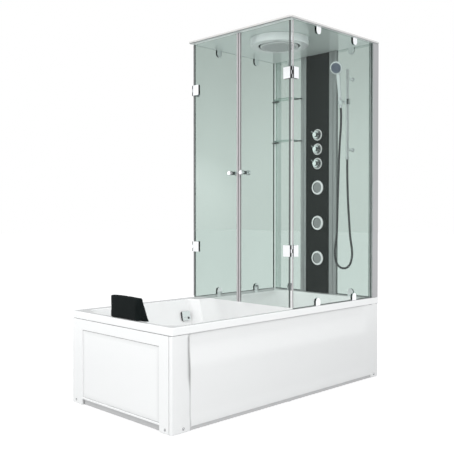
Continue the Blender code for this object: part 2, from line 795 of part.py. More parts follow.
def build_front_panel():
    """The long apron: a rounded post, a crease, a cove that swells to a belly, and a flat stile."""
    stations = front_stations()
    rows = 10
    mesh = bpy.data.meshes.new("front_panel")
    sheet = bmesh.new()
    grid = []
    for n in range(rows + 1):
        share = n / rows
        z = PANEL_LIFT + (PANEL_TOP - PANEL_LIFT) * share
        depth = COVE_DEPTH * math.sin(math.pi * share ** COVE_POWER)
        grid.append([sheet.verts.new((x, y + depth * sink, z)) for x, y, sink in stations])
    for lower, upper in zip(grid, grid[1:]):
        for n in range(len(stations) - 1):
            sheet.faces.new((lower[n], lower[n + 1], upper[n + 1], upper[n]))
    sheet.to_mesh(mesh)
    sheet.free()
    mesh.shade_smooth()
    mesh.set_sharp_from_angle(angle=math.radians(45))
    panel = place("front_panel", mesh, ACRYLIC)
    wall = panel.modifiers.new("Sheet", "SOLIDIFY")
    wall.thickness = PANEL
    wall.offset = -1
    low = (HEAD_X + POST_WIDTH, FRONT_Y - OVERRUN, -OVERRUN)
    high = (END_X - STILE_WIDTH, FRONT_Y + PANEL_RETURN + OVERRUN, BASE_GAP_TOP)
    cut(panel, span_box("front_base_gap", low, high))


def build_end_panel():
    """The head end's panel: a frame with stiles down to the floor round a sunk field."""
    front = PANEL_FACE_Y + PANEL_RETURN + FIT
    rear = REAR_Y - PANEL_INSET
    low = Vector((HEAD_X + FIT, front, PANEL_LIFT))
    high = Vector((HEAD_X + FIT + END_PANEL, rear, PANEL_TOP))
    mesh = box_mesh("end_panel", high - low)
    panel = place("end_panel", mesh, ACRYLIC, (low + high) / 2)
    field_front = FRONT_Y + END_STILE
    field_rear = REAR_Y - END_STILE
    field_top = PANEL_TOP - END_TOP_RAIL
    field_low = BASE_GAP_TOP + END_BASE_RAIL
    size = (END_RECESS * 2, field_rear - field_front, field_top - field_low)
    field = box_mesh("end_field", size)
    shares = (1 - END_RECESS_DRAFT * 2 / size[1], 1 - END_RECESS_DRAFT * 2 / size[2])
    for vertex in field.vertices:
        if vertex.co.x > 0:
            vertex.co.y *= shares[0]
            vertex.co.z *= shares[1]
    at = (HEAD_X + FIT, (field_front + field_rear) / 2, (field_top + field_low) / 2)
    cut(panel, helper("end_field", field, at))
    low = (HEAD_X - OVERRUN, field_front, -OVERRUN)
    high = (HEAD_X + END_PANEL + OVERRUN, field_rear, BASE_GAP_TOP)
    cut(panel, span_box("end_base_gap", low, high))


def build_waste():
    """Waste and overflow under the tub: flange, tailpiece, pipes and outlet in one piece."""
    floor = BASIN_FLOOR
    top = floor + FIT + FLANGE_THICKNESS
    seat = top - PLUG_THICKNESS - FIT
    bottom = PIPE_CENTRE_Z - WASTE_RADIUS
    profile = [
        (0, top - THROAT_DEPTH), (PLUG_STEM + FIT * 2, top - THROAT_DEPTH),
        (PLUG_STEM + FIT * 2, seat), (PLUG_RADIUS + FIT * 2, seat), (PLUG_RADIUS + FIT * 2, top),
        (FLANGE_RADIUS - FLANGE_THICKNESS / 2, top), (FLANGE_RADIUS, top - FLANGE_THICKNESS / 2),
        (FLANGE_RADIUS, floor + FIT), (THROAT_RADIUS + SHELL, floor + FIT),
        (THROAT_RADIUS + SHELL, floor - SHELL - FIT), (WASTE_RADIUS, floor - SHELL * 2),
        (WASTE_RADIUS, bottom), (0, bottom),
    ]
    mesh = profile_mesh("waste_kit", [(r, z - floor) for r, z in profile])
    waste = turn(place("waste_kit", mesh, PLASTIC, (DRAIN_X, DRAIN_Y, floor)))
    y, lean = wall_place(RIM_TOP - OVERFLOW_DROP)
    pipe_y = y + SHELL + OVERFLOW_PIPE_BACK
    overflow_z = RIM_TOP - OVERFLOW_DROP
    run = pipe_y - DRAIN_Y
    pipe = rod_mesh("cross_pipe", PIPE_RADIUS, run, SMALL_ROUND)
    at = (DRAIN_X, DRAIN_Y + run / 2, PIPE_CENTRE_Z)
    join(waste, helper("cross_pipe", pipe, at, FRONT_FACING))
    rise = overflow_z - PIPE_CENTRE_Z + PIPE_RADIUS
    pipe = rod_mesh("overflow_pipe", PIPE_RADIUS * 0.98, rise, SMALL_ROUND)
    at = (DRAIN_X, pipe_y, PIPE_CENTRE_Z - PIPE_RADIUS + rise / 2)
    join(waste, helper("overflow_pipe", pipe, at))
    tilt = (math.radians(90) - lean, 0, 0)
    outward = Vector((0, -math.cos(lean), math.sin(lean)))
    wall = Vector((DRAIN_X, y, overflow_z))
    body = rod_mesh("overflow_body", OVERFLOW_BODY, OVERFLOW_BODY_DEPTH, SMALL_ROUND)
    at = wall - outward * (SHELL + FIT + OVERFLOW_BODY_DEPTH / 2)
    join(waste, helper("overflow_body", body, at, tilt))
    collar = rod_mesh("overflow_collar", OVERFLOW_COLLAR, SHELL + OVERFLOW_BODY_DEPTH, SMALL_ROUND)
    at = wall - outward * ((SHELL + OVERFLOW_BODY_DEPTH) / 2 - FIT)
    join(waste, helper("overflow_collar", collar, at, tilt))
    outlet = rod_mesh("waste_outlet", OUTLET_RADIUS, OUTLET_LENGTH, SMALL_ROUND)
    at = (DRAIN_X + OUTLET_LENGTH / 2, DRAIN_Y, PIPE_CENTRE_Z)
    join(waste, helper("waste_outlet", outlet, at, (0, math.radians(90), 0)))
    profile = [
        (0, PLUG_THICKNESS), (PLUG_RADIUS - KNOB_EDGE, PLUG_THICKNESS),
        (PLUG_RADIUS, PLUG_THICKNESS - KNOB_EDGE), (PLUG_RADIUS, 0), (PLUG_STEM, 0),
        (PLUG_STEM, -PLUG_STEM_LENGTH), (0, -PLUG_STEM_LENGTH),
    ]
    at = (DRAIN_X, DRAIN_Y, seat + FIT)
    turn(place("drain_plug", profile_mesh("drain_plug", profile), CHROME, at))


def build_overflow_cap():
    """The turning cap on the basin's rear wall, with the water slot near its lower edge."""
    y, lean = wall_place(RIM_TOP - OVERFLOW_DROP)
    outward = Vector((0, -math.cos(lean), math.sin(lean)))
    wall = Vector((DRAIN_X, y, RIM_TOP - OVERFLOW_DROP))
    hub = pivot("overflow_axis", wall + outward * (FIT * 3), (math.radians(90) - lean, 0, 0))
    outline = rounded(CAP_WIDTH, CAP_HEIGHT, CAP_CORNER)
    mesh = plate_mesh("overflow_cap", outline, CAP_THICKNESS)
    cap = place("overflow_cap", mesh, CHROME, (0, 0, CAP_THICKNESS / 2), parent=hub)
    slot = box_mesh("cap_slot", (CAP_SLOT_WIDTH, CAP_SLOT_HEIGHT, CAP_SLOT_DEPTH * 2))
    at = (0, -CAP_HEIGHT / 2 + CAP_SLOT_RISE + CAP_SLOT_HEIGHT / 2, CAP_THICKNESS)
    soften(cap, KNOB_EDGE, 1)
    cut(cap, helper("cap_slot", slot, at, parent=hub))


def build_headrest():
    """The wedge cushion: a crowned block, upright at the back and sloping down into the basin."""
    mesh = bpy.data.meshes.new("headrest_pillow")
    cage = bmesh.new()
    bmesh.ops.create_cube(cage, size=2)
    bmesh.ops.subdivide_edges(cage, edges=cage.edges, cuts=REST_STEPS - 1, use_grid_fill=True)
    back = HEAD_X + REST_INSET
    base = RIM_TOP + FIT
    for vertex in cage.verts:
        u, v, w = vertex.co
        crown = [REST_CROWN * math.copysign((1 - b * b) * (1 - c * c), a) if abs(a) > 0.999 else 0
                 for a, b, c in ((u, v, w), (v, u, w), (w, u, v))]
        height = (w + 1) / 2
        depth_share = (u + 1) / 2
        thick = REST_FOOT + (REST_TOP - REST_FOOT) * height
        x = back + REST_CROWN + thick * depth_share + crown[0]
        over = max(x - back - REST_SEAT, 0) / (REST_FOOT - REST_SEAT)
        z = base + (REST_HEIGHT - REST_CROWN) * height - REST_DROP * over * (1 - height)
        z += crown[2] if w > 0 else 0
        y = REST_Y + v * (REST_WIDTH / 2 - REST_CROWN) + crown[1]
        vertex.co = (x, y, z)
    cage.to_mesh(mesh)
    cage.free()
    mesh.shade_smooth()
    mesh.set_sharp_from_angle(angle=math.radians(50))
    rest = place("headrest_pillow", mesh, CUSHION)
    soften(rest, REST_CROWN, 2, 50)


def clamp_spots(width, near, far, height):
    """Bolt holes of two clamps at the foot and two at the head of a glass panel."""
    radius = CLAMP_BOLT + CLAMP_BOLT_PLAY
    spots = []
    for along in (near, far):
        spots.append(circle(along, CLAMP_BOLT_RISE, radius))
        spots.append(circle(along, height + FIT - CLAMP_BOLT_RISE, radius))
    return spots


def hinge_holes(along, foot):
    """Bolt holes of an upper and a lower hinge, at a distance along a glass panel."""
    radius = HINGE_BOLT + HINGE_BOLT_PLAY
    holes = []
    for height in (LOWER_HINGE_Z, UPPER_HINGE_Z):
        holes.append(circle(along, height - foot, radius))
    return holes


def sheet_outline(width, height):
    """The rectangle of a glass panel from its lower corner."""
    return [(0, 0), (width, 0), (width, height), (0, height)]


def build_side_glass():
    """The front and rear glass of the cabin, held by clamps, hinges and the corner profiles."""
    start = DOOR_X + HINGE_REACH
    width = WALL_X + GROOVE_DEPTH - GROOVE_END_GAP - start
    near = CLAMP_NEAR - HINGE_REACH
    far = CLAMP_FAR - HINGE_REACH
    holes = clamp_spots(width, near, far, GLASS_HEIGHT)
    holes += hinge_holes(HINGE_FIXED_WIDTH * HINGE_BOLT_SHARE, GLASS_FOOT)
    for name, y in (("front_glass", FRONT_GLASS_Y), ("rear_glass", REAR_GLASS_Y)):
        mesh = plate_mesh(name, sheet_outline(width, GLASS_HEIGHT), GLASS, holes)
        place(name, mesh, CLEAR_GLASS, (start, y, GLASS_FOOT), FRONT_FACING)


def build_end_glass():
    """The two glass panels of the end wall, on both sides of the column."""
    inner_front = FRONT_Y + CORNER_OUTSIDE + CORNER_DEPTH + FIT
    inner_rear = REAR_Y - REAR_CORNER_OUTSIDE - CORNER_DEPTH - FIT
    inside = GROOVE_DEPTH - GROOVE_END_GAP
    spans = (
        ("end_glass_front", inner_front, FRONT_PROFILE_Y + inside, inner_front + END_CLAMP_FRONT),
        ("end_glass_rear", REAR_PROFILE_Y - inside, inner_rear, inner_rear - END_CLAMP_REAR),
    )
    for name, low, high, clamp in spans:
        along = clamp - low
        radius = CLAMP_BOLT + CLAMP_BOLT_PLAY
        holes = [circle(along, CLAMP_BOLT_RISE, radius)]
        holes.append(circle(along, GLASS_HEIGHT + FIT - CLAMP_BOLT_RISE, radius))
        mesh = plate_mesh(name, sheet_outline(high - low, GLASS_HEIGHT), GLASS, holes)
        place(name, mesh, CLEAR_GLASS, (WALL_MID_X, low, GLASS_FOOT), SIDE_FACING)


def corner_outline(glass_y, outer, inner, side):
    """Plan outline of a corner profile: groove for the side glass, lip behind the end glass."""
    left = WALL_X
    right = END_X - CORNER_END_GAP
    behind = WALL_X + GLASS + FIT
    near = glass_y - side * (GLASS / 2 + FIT)
    far = glass_y + side * (GLASS / 2 + FIT)
    wall = side * CORNER_WALL
    step = wall / 5
    outline = [
        (left, outer), (right, outer), (right, inner - step), (behind + CORNER_WALL, inner - step),
        (behind + CORNER_WALL, inner + side * HOLDING_LIP), (behind, inner + side * HOLDING_LIP),
        (behind, inner), (left, inner), (left, far), (left + GROOVE_DEPTH, far),
        (left + GROOVE_DEPTH, near), (left, near),
    ]
    hollow_left = left + GROOVE_DEPTH + CORNER_WALL
    hollow = [(hollow_left, outer + wall), (right - CORNER_WALL, outer + wall),
              (right - CORNER_WALL, inner - wall), (hollow_left, inner - wall)]
    return outline, hollow


def build_corner_profiles():
    """The upright profiles that join the side glass to the end wall, with shelf brackets behind."""
    sides = (
        ("corner_profile_front", ALUMINIUM, FRONT_GLASS_Y, FRONT_Y + CORNER_OUTSIDE, 1),
        ("corner_profile_rear", DARK_PROFILE, REAR_GLASS_Y, REAR_Y - REAR_CORNER_OUTSIDE, -1),
    )
    for name, look, glass_y, outer, side in sides:
        inner = outer + side * CORNER_DEPTH
        outline, hollow = corner_outline(glass_y, outer, inner, side)
        mesh = plate_mesh(name, outline, GLASS_HEIGHT, [hollow])
        profile = place(name, mesh, look, (0, 0, GLASS_FOOT + GLASS_HEIGHT / 2))
        if side < 0:
            near = SHELF_Y + SHELF_LENGTH - BRACKET_UNDER
            high = REAR_GLASS_Y - GLASS / 2 - FIT * 2
            add_shelf_brackets(profile, "corner", inner + FIT, high, WALL_X + CORNER_WALL)
            add_shelf_brackets(profile, "arm", near, high, WALL_X - FIT)


def add_shelf_brackets(profile, name, low_y, high_y, back):
    """Two small arms that carry the ends of the glass shelves."""
    for level, drop in (("lower", LOWER_SHELF_DROP), ("upper", UPPER_SHELF_DROP)):
        top = CEILING - drop - SHELF_GLASS / 2 - FIT
        low = (WALL_X - BRACKET_REACH, low_y, top - BRACKET_THICKNESS)
        join(profile, span_box(f"{name}_bracket_{level}", low, (back, high_y, top)))


def profile_outline(low, high, glass_side):
    """Plan outline of a column profile: a groove for the end glass and one for the column."""
    face = PROFILE_FACE_X
    back = PROFILE_FACE_X + COLUMN_PROFILE_DEPTH
    glass_near = WALL_X - FIT
    glass_far = WALL_X + GLASS + FIT
    panel_near = COLUMN_FACE_X - FIT
    panel_far = COLUMN_BACK_X + FIT
    if glass_side < 0:
        low_near, low_far, high_near, high_far = glass_near, glass_far, panel_near, panel_far
    else:
        low_near, low_far, high_near, high_far = panel_near, panel_far, glass_near, glass_far
    channel = low + (high - low) * CHANNEL_SHARE
    return [
        (face, low), (low_near, low), (low_near, low + GROOVE_DEPTH), (low_far, low + GROOVE_DEPTH),
        (low_far, low), (back, low), (back, high), (high_far, high), (high_far, high - GROOVE_DEPTH),
        (high_near, high - GROOVE_DEPTH), (high_near, high), (face, high),
        (face, channel + CHANNEL_WIDTH), (face + CHANNEL_DEPTH, channel + CHANNEL_WIDTH),
        (face + CHANNEL_DEPTH, channel), (face, channel),
    ]


def build_column_profiles():
    """The two aluminium profiles beside the dark column."""
    spans = (("column_profile_front", FRONT_PROFILE_Y, COLUMN_FRONT_Y, -1),
             ("column_profile_rear", COLUMN_REAR_Y, REAR_PROFILE_Y, 1))
    for name, low, high, side in spans:
        mesh = plate_mesh(name, profile_outline(low, high, side), GLASS_HEIGHT)
        profile = place(name, mesh, ALUMINIUM, (0, 0, GLASS_FOOT + GLASS_HEIGHT / 2))
        if side > 0:
            back = PROFILE_FACE_X + CHANNEL_DEPTH
            add_shelf_brackets(profile, "profile", high - BRACKET_ROOT, SHELF_Y + BRACKET_UNDER, back)


def build_column():
    """The dark column with its valve block, jet housings and riser pipe behind it."""
    inside = GROOVE_DEPTH - GROOVE_END_GAP
    low_y = COLUMN_FRONT_Y - inside
    width = COLUMN_WIDTH + inside * 2
    middle = COLUMN_MIDDLE_Y
    mesh = plate_mesh("column_panel", sheet_outline(width, GLASS_HEIGHT), GLASS)
    at = (COLUMN_FACE_X + GLASS / 2, low_y, GLASS_FOOT)
    column = place("column_panel", mesh, BLACK_GLASS, at, SIDE_FACING)
    back = COLUMN_BACK_X - FIT
    low = (back, middle - BLOCK_WIDTH / 2, VALVE_HEIGHTS[0] - BLOCK_MARGIN)
    high = (back + BLOCK_DEPTH, middle + BLOCK_WIDTH / 2, VALVE_HEIGHTS[-1] + BLOCK_MARGIN)
    join(column, span_box("valve_block", low, high))
    for number, height in enumerate(JET_HEIGHTS):
        body = rod_mesh(f"jet_housing_{number}", HOUSING_RADIUS, HOUSING_DEPTH + FIT, SMALL_ROUND)
        at = (back + HOUSING_DEPTH / 2, middle, height)
        join(column, helper(f"jet_housing_{number}", body, at, OUT_OF_COLUMN))
    riser_x = COLUMN_BACK_X + RISER_BACK
    lengths = CEILING - FIT - JET_HEIGHTS[0]
    riser = rod_mesh("riser_pipe", RISER_RADIUS, lengths, BOLT_ROUND)
    join(column, helper("riser_pipe", riser, (riser_x - RISER_RADIUS, middle, JET_HEIGHTS[0] + lengths / 2)))
    for side in (-1, 1):
        tail = rod_mesh(f"inlet_tail_{side}", TAIL_RADIUS, TAIL_LENGTH + OVERRUN, SMALL_ROUND)
        foot = VALVE_HEIGHTS[0] - BLOCK_MARGIN
        at = (back + BLOCK_DEPTH / 2, middle + side * TAIL_SPACING / 2, foot - (TAIL_LENGTH - OVERRUN) / 2)
        join(column, helper(f"inlet_tail_{side}", tail, at))
    for number, height in enumerate(VALVE_HEIGHTS):
        depth = GLASS + STEM_REACH + OVERRUN
        hole = rod_mesh(f"valve_hole_{number}", STEM_HOLE, depth + OVERRUN)
        at = (COLUMN_FACE_X + depth / 2 - OVERRUN, middle, height)
        cut(column, helper(f"valve_hole_{number}", hole, at, OUT_OF_COLUMN))
    for number, height in enumerate(JET_HEIGHTS):
        depth = GLASS + NOZZLE_THICKNESS + OVERRUN
        hole = rod_mesh(f"jet_hole_{number}", JET_HOLE, depth)
        at = (COLUMN_FACE_X - OVERRUN + depth / 2, middle, height)
        cut(column, helper(f"jet_hole_{number}", hole, at, OUT_OF_COLUMN))


def build_valves():
    """Three knobs, each turning on a fixed round escutcheon; a pin shows where each stands."""
    for name, height in zip(("lower", "middle", "upper"), VALVE_HEIGHTS):
        at = (COLUMN_FACE_X - FIT, COLUMN_MIDDLE_Y, height)
        profile = [
            (RING_BORE, RING_PROUD), (RING_RADIUS - RING_EDGE * 2, RING_PROUD),
            (RING_RADIUS, RING_PROUD - RING_EDGE), (RING_RADIUS, 0), (RING_BORE, 0),
        ]
        mesh = profile_mesh(f"valve_ring_{name}", profile, closed=True)
        turn(place(f"valve_ring_{name}", mesh, CHROME, at, OUT_OF_COLUMN), MIDDLE_ROUND)
        hub = pivot(f"valve_axis_{name}", at, OUT_OF_COLUMN)
        base = RING_PROUD + FIT
        step = base + KNOB_BASE_DEPTH
        cap = step + KNOB_STEP_DEPTH
        top = cap + KNOB_CAP_DEPTH
        profile = [
            (0, top), (KNOB_CAP - KNOB_EDGE, top), (KNOB_CAP, top - KNOB_EDGE), (KNOB_CAP, cap),
            (KNOB_STEP - KNOB_EDGE, cap), (KNOB_STEP, cap - KNOB_EDGE), (KNOB_STEP, step),
            (KNOB_BASE - KNOB_EDGE, step), (KNOB_BASE, step - KNOB_EDGE), (KNOB_BASE, base),
            (STEM_RADIUS, base), (STEM_RADIUS, -GLASS - STEM_REACH), (0, -GLASS - STEM_REACH),
        ]
        mesh = profile_mesh(f"valve_knob_{name}", profile)
        knob = turn(place(f"valve_knob_{name}", mesh, CHROME, parent=hub))
        reach = PIN_REACH - KNOB_CAP / 2
        pin = rod_mesh(f"valve_pin_{name}", PIN_RADIUS, reach, BOLT_ROUND)
        angle = math.radians(PIN_TILT)
        middle = (PIN_REACH + KNOB_CAP / 2) / 2
        height_on_knob = cap + KNOB_CAP_DEPTH / 2
        at = (middle * math.sin(angle), middle * math.cos(angle), height_on_knob)
        tilt = Vector((math.sin(angle), math.cos(angle), 0)).to_track_quat("Z", "Y").to_euler()
        join(knob, helper(f"valve_pin_{name}", pin, at, tilt, parent=hub))


def build_jets():
    """Three body jets: a fixed ring and a nozzle plate that swivels in it as a slice of a ball."""
    for name, height in zip(("lower", "middle", "upper"), JET_HEIGHTS):
        at = (COLUMN_FACE_X - FIT, COLUMN_MIDDLE_Y, height)
        profile = [
            (JET_BORE, JET_PROUD - RING_EDGE), (JET_BORE + RING_EDGE, JET_PROUD),
            (JET_RADIUS - RING_EDGE * 2, JET_PROUD), (JET_RADIUS, JET_PROUD - RING_EDGE * 2),
            (JET_RADIUS, 0), (JET_BORE, 0),
        ]
        mesh = profile_mesh(f"jet_ring_{name}", profile, closed=True)
        turn(place(f"jet_ring_{name}", mesh, CHROME, at, OUT_OF_COLUMN), MIDDLE_ROUND)
        centre = (COLUMN_FACE_X + NOZZLE_SINK, COLUMN_MIDDLE_Y, height)
        hub = pivot(f"jet_axis_{name}", centre, OUT_OF_COLUMN)
        half = NOZZLE_THICKNESS / 2
        edge = math.asin(half / NOZZLE_RADIUS)
        profile = [(0, half + NOZZLE_CROWN), (NOZZLE_RADIUS * 0.5, half + NOZZLE_CROWN * 0.75)]
        for n in range(5):
            angle = edge - 2 * edge * n / 4
            profile.append((NOZZLE_RADIUS * math.cos(angle), NOZZLE_RADIUS * math.sin(angle)))
        profile.append((0, -half))
        mesh = profile_mesh(f"jet_nozzle_{name}", profile)
        turn(place(f"jet_nozzle_{name}", mesh, NOZZLE, parent=hub), MIDDLE_ROUND)


def add_bolt(leaf, name, axis, width, rotation):
    """The bolt that joins a hinge leaf's two plates through the glass."""
    along = HINGE_REACH + width * HINGE_BOLT_SHARE
    length = GLASS + FIT * 2 + HINGE_PLATE
    bolt = rod_mesh(f"{name}_bolt", HINGE_BOLT, length, BOLT_ROUND)
    at = Matrix.Rotation(rotation, 4, "Z") @ Vector((along, 0, leaf.location.z))
    join(leaf, helper(f"{name}_bolt", bolt, at, (math.radians(90), 0, rotation), axis))


def build_leaf(name, axis, rotation, width, height, moving):
    """One half of a glass hinge: two plates, a web, its knuckles, and the pin on the fixed half."""
    start = HINGE_REACH - FIT - HINGE_WEB
    half = GLASS / 2 + FIT
    outer = half + HINGE_PLATE
    end = HINGE_REACH + width
    outline = [(start, -outer), (end, -outer), (end, -half), (HINGE_REACH - FIT, -half),
               (HINGE_REACH - FIT, half), (end, half), (end, outer), (start, outer)]
    mesh = plate_mesh(name, outline, HINGE_HEIGHT)
    leaf = place(name, mesh, CHROME, (0, 0, height), (0, 0, rotation), axis)
    third = HINGE_HEIGHT / 3
    levels = (0,) if moving else (-third, third)
    bar = third - KNUCKLE_GAP
    turned_by = (0, 0, rotation)
    for number, level in enumerate(levels):
        arm = box_mesh(f"{name}_arm_{number}", (start + HINGE_WEB / 2, HINGE_ARM, bar))
        spot = Matrix.Rotation(rotation, 4, "Z") @ Vector(((start + HINGE_WEB / 2) / 2, 0, height + level))
        join(leaf, helper(f"{name}_arm_{number}", arm, spot, turned_by, axis))
        knuckle = rod_mesh(f"{name}_knuckle_{number}", KNUCKLE_RADIUS, bar, SMALL_ROUND)
        join(leaf, helper(f"{name}_knuckle_{number}", knuckle, (0, 0, height + level), (0, 0, 0), axis))
    add_bolt(leaf, name, axis, width, rotation)
    if moving:
        bore = rod_mesh(f"{name}_bore", HINGE_PIN + HINGE_PIN_PLAY, bar + OVERRUN, SMALL_ROUND)
        cut(leaf, helper(f"{name}_bore", bore, (0, 0, height), (0, 0, 0), axis))
    else:
        pin = rod_mesh(f"{name}_pin", HINGE_PIN, HINGE_HEIGHT - KNUCKLE_GAP * 2, SMALL_ROUND)
        join(leaf, helper(f"{name}_pin", pin, (0, 0, height), (0, 0, 0), axis))


def seal_outline(side):
    """Plan outline of the magnetic closing profile: a body with a slot for the door's edge."""
    far = SEAL_WIDTH * side
    mouth = 0
    floor = SEAL_LIP * side
    half = GLASS / 2 + FIT
    outer = SEAL_THICKNESS / 2
    return [(-outer, mouth), (-half, mouth), (-half, floor + FIT * side), (half, floor + FIT * side),
            (half, mouth), (outer, mouth), (outer, far), (-outer, far)]


def door_knob_profile():
    """Half outline of the round door knob that stands on both faces of the glass."""
    face = GLASS / 2 + FIT
    collar = face + DOOR_COLLAR_LENGTH
    neck = collar + DOOR_NECK_LENGTH
    end = neck + DOOR_KNOB_LENGTH
    edge = KNOB_EDGE
    upper = [
        (0, end), (DOOR_KNOB_RADIUS - edge, end), (DOOR_KNOB_RADIUS, end - edge),
        (DOOR_KNOB_RADIUS, neck), (DOOR_NECK_RADIUS, neck),
        (DOOR_NECK_RADIUS, collar), (DOOR_COLLAR_RADIUS, collar), (DOOR_COLLAR_RADIUS, face),
        (DOOR_BOLT_RADIUS, face),
    ]
    return upper + [(radius, -height) for radius, height in reversed(upper)]


def build_doors():
    """Two glass doors with their closing profiles, knobs and hinges, each on its own axis."""
    sides = (("front", FRONT_GLASS_Y, 1), ("rear", REAR_GLASS_Y, -1))
    for name, y, side in sides:
        axis = pivot(f"door_axis_{name}", (DOOR_X, y, 0))
        fixed = pivot(f"hinge_axis_{name}", (DOOR_X, y, 0))
        for level, height in (("lower", LOWER_HINGE_Z), ("upper", UPPER_HINGE_Z)):
            quarter = math.radians(90) * side
            build_leaf(f"hinge_door_{name}_{level}", axis, quarter, HINGE_DOOR_WIDTH, height, True)
            build_leaf(f"hinge_fixed_{name}_{level}", fixed, 0, HINGE_FIXED_WIDTH, height, False)
        start = HINGE_REACH if side > 0 else -HINGE_REACH - DOOR_WIDTH
        bolt_line = HINGE_DOOR_WIDTH * HINGE_BOLT_SHARE
        along = bolt_line if side > 0 else DOOR_WIDTH - bolt_line
        holes = hinge_holes(along, DOOR_FOOT)
        knob_y = (MEETING_Y - y) * side - KNOB_FROM_EDGE
        knob_along = knob_y - HINGE_REACH if side > 0 else DOOR_WIDTH - (knob_y - HINGE_REACH)
        knob_rise = RIM_TOP + KNOB_RISE
        holes.append(circle(knob_along, knob_rise - DOOR_FOOT, DOOR_BOLT_HOLE))
        mesh = plate_mesh(f"door_glass_{name}", sheet_outline(DOOR_WIDTH, DOOR_HEIGHT), GLASS, holes)
        place(f"door_glass_{name}", mesh, CLEAR_GLASS, (0, start, DOOR_FOOT), SIDE_FACING, axis)
        mouth = (HINGE_REACH + DOOR_WIDTH - SEAL_LIP) * side
        mesh = plate_mesh(f"door_seal_{name}", seal_outline(side), DOOR_HEIGHT)
        at = (0, mouth, DOOR_FOOT + DOOR_HEIGHT / 2)
        place(f"door_seal_{name}", mesh, SEAL, at, (0, 0, 0), axis)
        mesh = profile_mesh(f"door_knob_{name}", door_knob_profile())
        knob = place(f"door_knob_{name}", mesh, CHROME, (0, knob_y * side, knob_rise), OUT_OF_COLUMN, axis)
        turn(knob, SMALL_ROUND)


def clamp_mesh(name):
    """One D-shaped plate, flat edge down, its foot at the origin."""
    top = CLAMP_HEIGHT - CLAMP_ROUND
    across = CLAMP_WIDTH / 2 - CLAMP_ROUND
    outline = [(-CLAMP_WIDTH / 2, 0), (CLAMP_WIDTH / 2, 0)]
    outline += corner(across, top, CLAMP_ROUND, 0, 2)
    outline += corner(-across, top, CLAMP_ROUND, 90, 2)
    return plate_mesh(name, outline, CLAMP_PLATE)


def clamp_places():
    """Name, place in plan and facing of each clamp."""
    inner_front = FRONT_Y + CORNER_OUTSIDE + CORNER_DEPTH + FIT
    inner_rear = REAR_Y - REAR_CORNER_OUTSIDE - CORNER_DEPTH - FIT
    return (
        ("front_near", DOOR_X + CLAMP_NEAR, FRONT_GLASS_Y, 0, 1),
        ("front_far", DOOR_X + CLAMP_FAR, FRONT_GLASS_Y, 0, 1),
        ("rear_near", DOOR_X + CLAMP_NEAR, REAR_GLASS_Y, 0, -1),
        ("rear_far", DOOR_X + CLAMP_FAR, REAR_GLASS_Y, 0, -1),
        ("end_front", WALL_MID_X, inner_front + END_CLAMP_FRONT, 90, 1),
        ("end_rear", WALL_MID_X, inner_rear - END_CLAMP_REAR, 90, 1),
    )


def build_clamps():
    """A clamp at the foot of the glass: an inner and an outer plate with a bolt between them."""
    offset = GLASS / 2 + FIT + CLAMP_PLATE / 2
    for name, x, y, turn_angle, side in clamp_places():
        rotation = (math.radians(90), 0, math.radians(turn_angle))
        normal = Matrix.Rotation(rotation[2], 3, "Z") @ Vector((0, 1, 0))
        centre = Vector((x, y, RIM_TOP + FIT * 2))
        piece = f"clamp_{name}"
        clamp = place(piece, clamp_mesh(piece), CHROME, centre + normal * offset, rotation)
        other = clamp_mesh(f"{piece}_plate")
        join(clamp, helper(f"{piece}_plate", other, centre - normal * offset, rotation))
        bolt = rod_mesh(f"{piece}_bolt", CLAMP_BOLT, offset * 2, BOLT_ROUND)
        at = centre + Vector((0, 0, CLAMP_BOLT_RISE - FIT))
        join(clamp, helper(f"{piece}_bolt", bolt, at, rotation))


def build_roof():
    """The roof: a thin slab with a rebate under its edge and the upper glass clamps fused below."""
    size = (CABIN_LENGTH, WIDTH, ROOF_EDGE)
    outline = rounded(size[0], size[1], ROOF_CORNER)
    middle_x = ROOF_X + CABIN_LENGTH / 2
    mesh = plate_mesh("roof_panel", outline, ROOF_EDGE)
    roof = place("roof_panel", mesh, ACRYLIC, (middle_x, 0, HEIGHT - ROOF_EDGE / 2))
    soften(roof, ROOF_EDGE / 5, 1, 60)
    inset = ROOF_REBATE_INSET
    outline = rounded(size[0] - inset * 2, size[1] - inset * 2, ROOF_CORNER - inset)
    mesh = plate_mesh("roof_rebate", outline, ROOF_REBATE + ROOF_EDGE / 2)
    at = (middle_x, 0, CEILING + (ROOF_REBATE + ROOF_EDGE / 2) / 2)
    join(roof, helper("roof_rebate", mesh, at))
    offset = GLASS / 2 + FIT + CLAMP_PLATE / 2
    for name, x, y, turn_angle, side in clamp_places():
        rotation = (math.radians(-90), 0, math.radians(turn_angle))
        normal = Matrix.Rotation(rotation[2], 3, "Z") @ Vector((0, 1, 0))
        centre = Vector((x, y, CEILING + ROOF_REBATE / 4))
        for number, facing in enumerate((-1, 1)):
            piece = f"roof_clamp_{name}_{number}"
            join(roof, helper(piece, clamp_mesh(piece), centre + normal * offset * facing, rotation))
        bolt = rod_mesh(f"roof_bolt_{name}", CLAMP_BOLT, offset * 2, BOLT_ROUND)
        at = (x, y, CEILING - CLAMP_BOLT_RISE)
        join(roof, helper(f"roof_bolt_{name}", bolt, at, rotation))


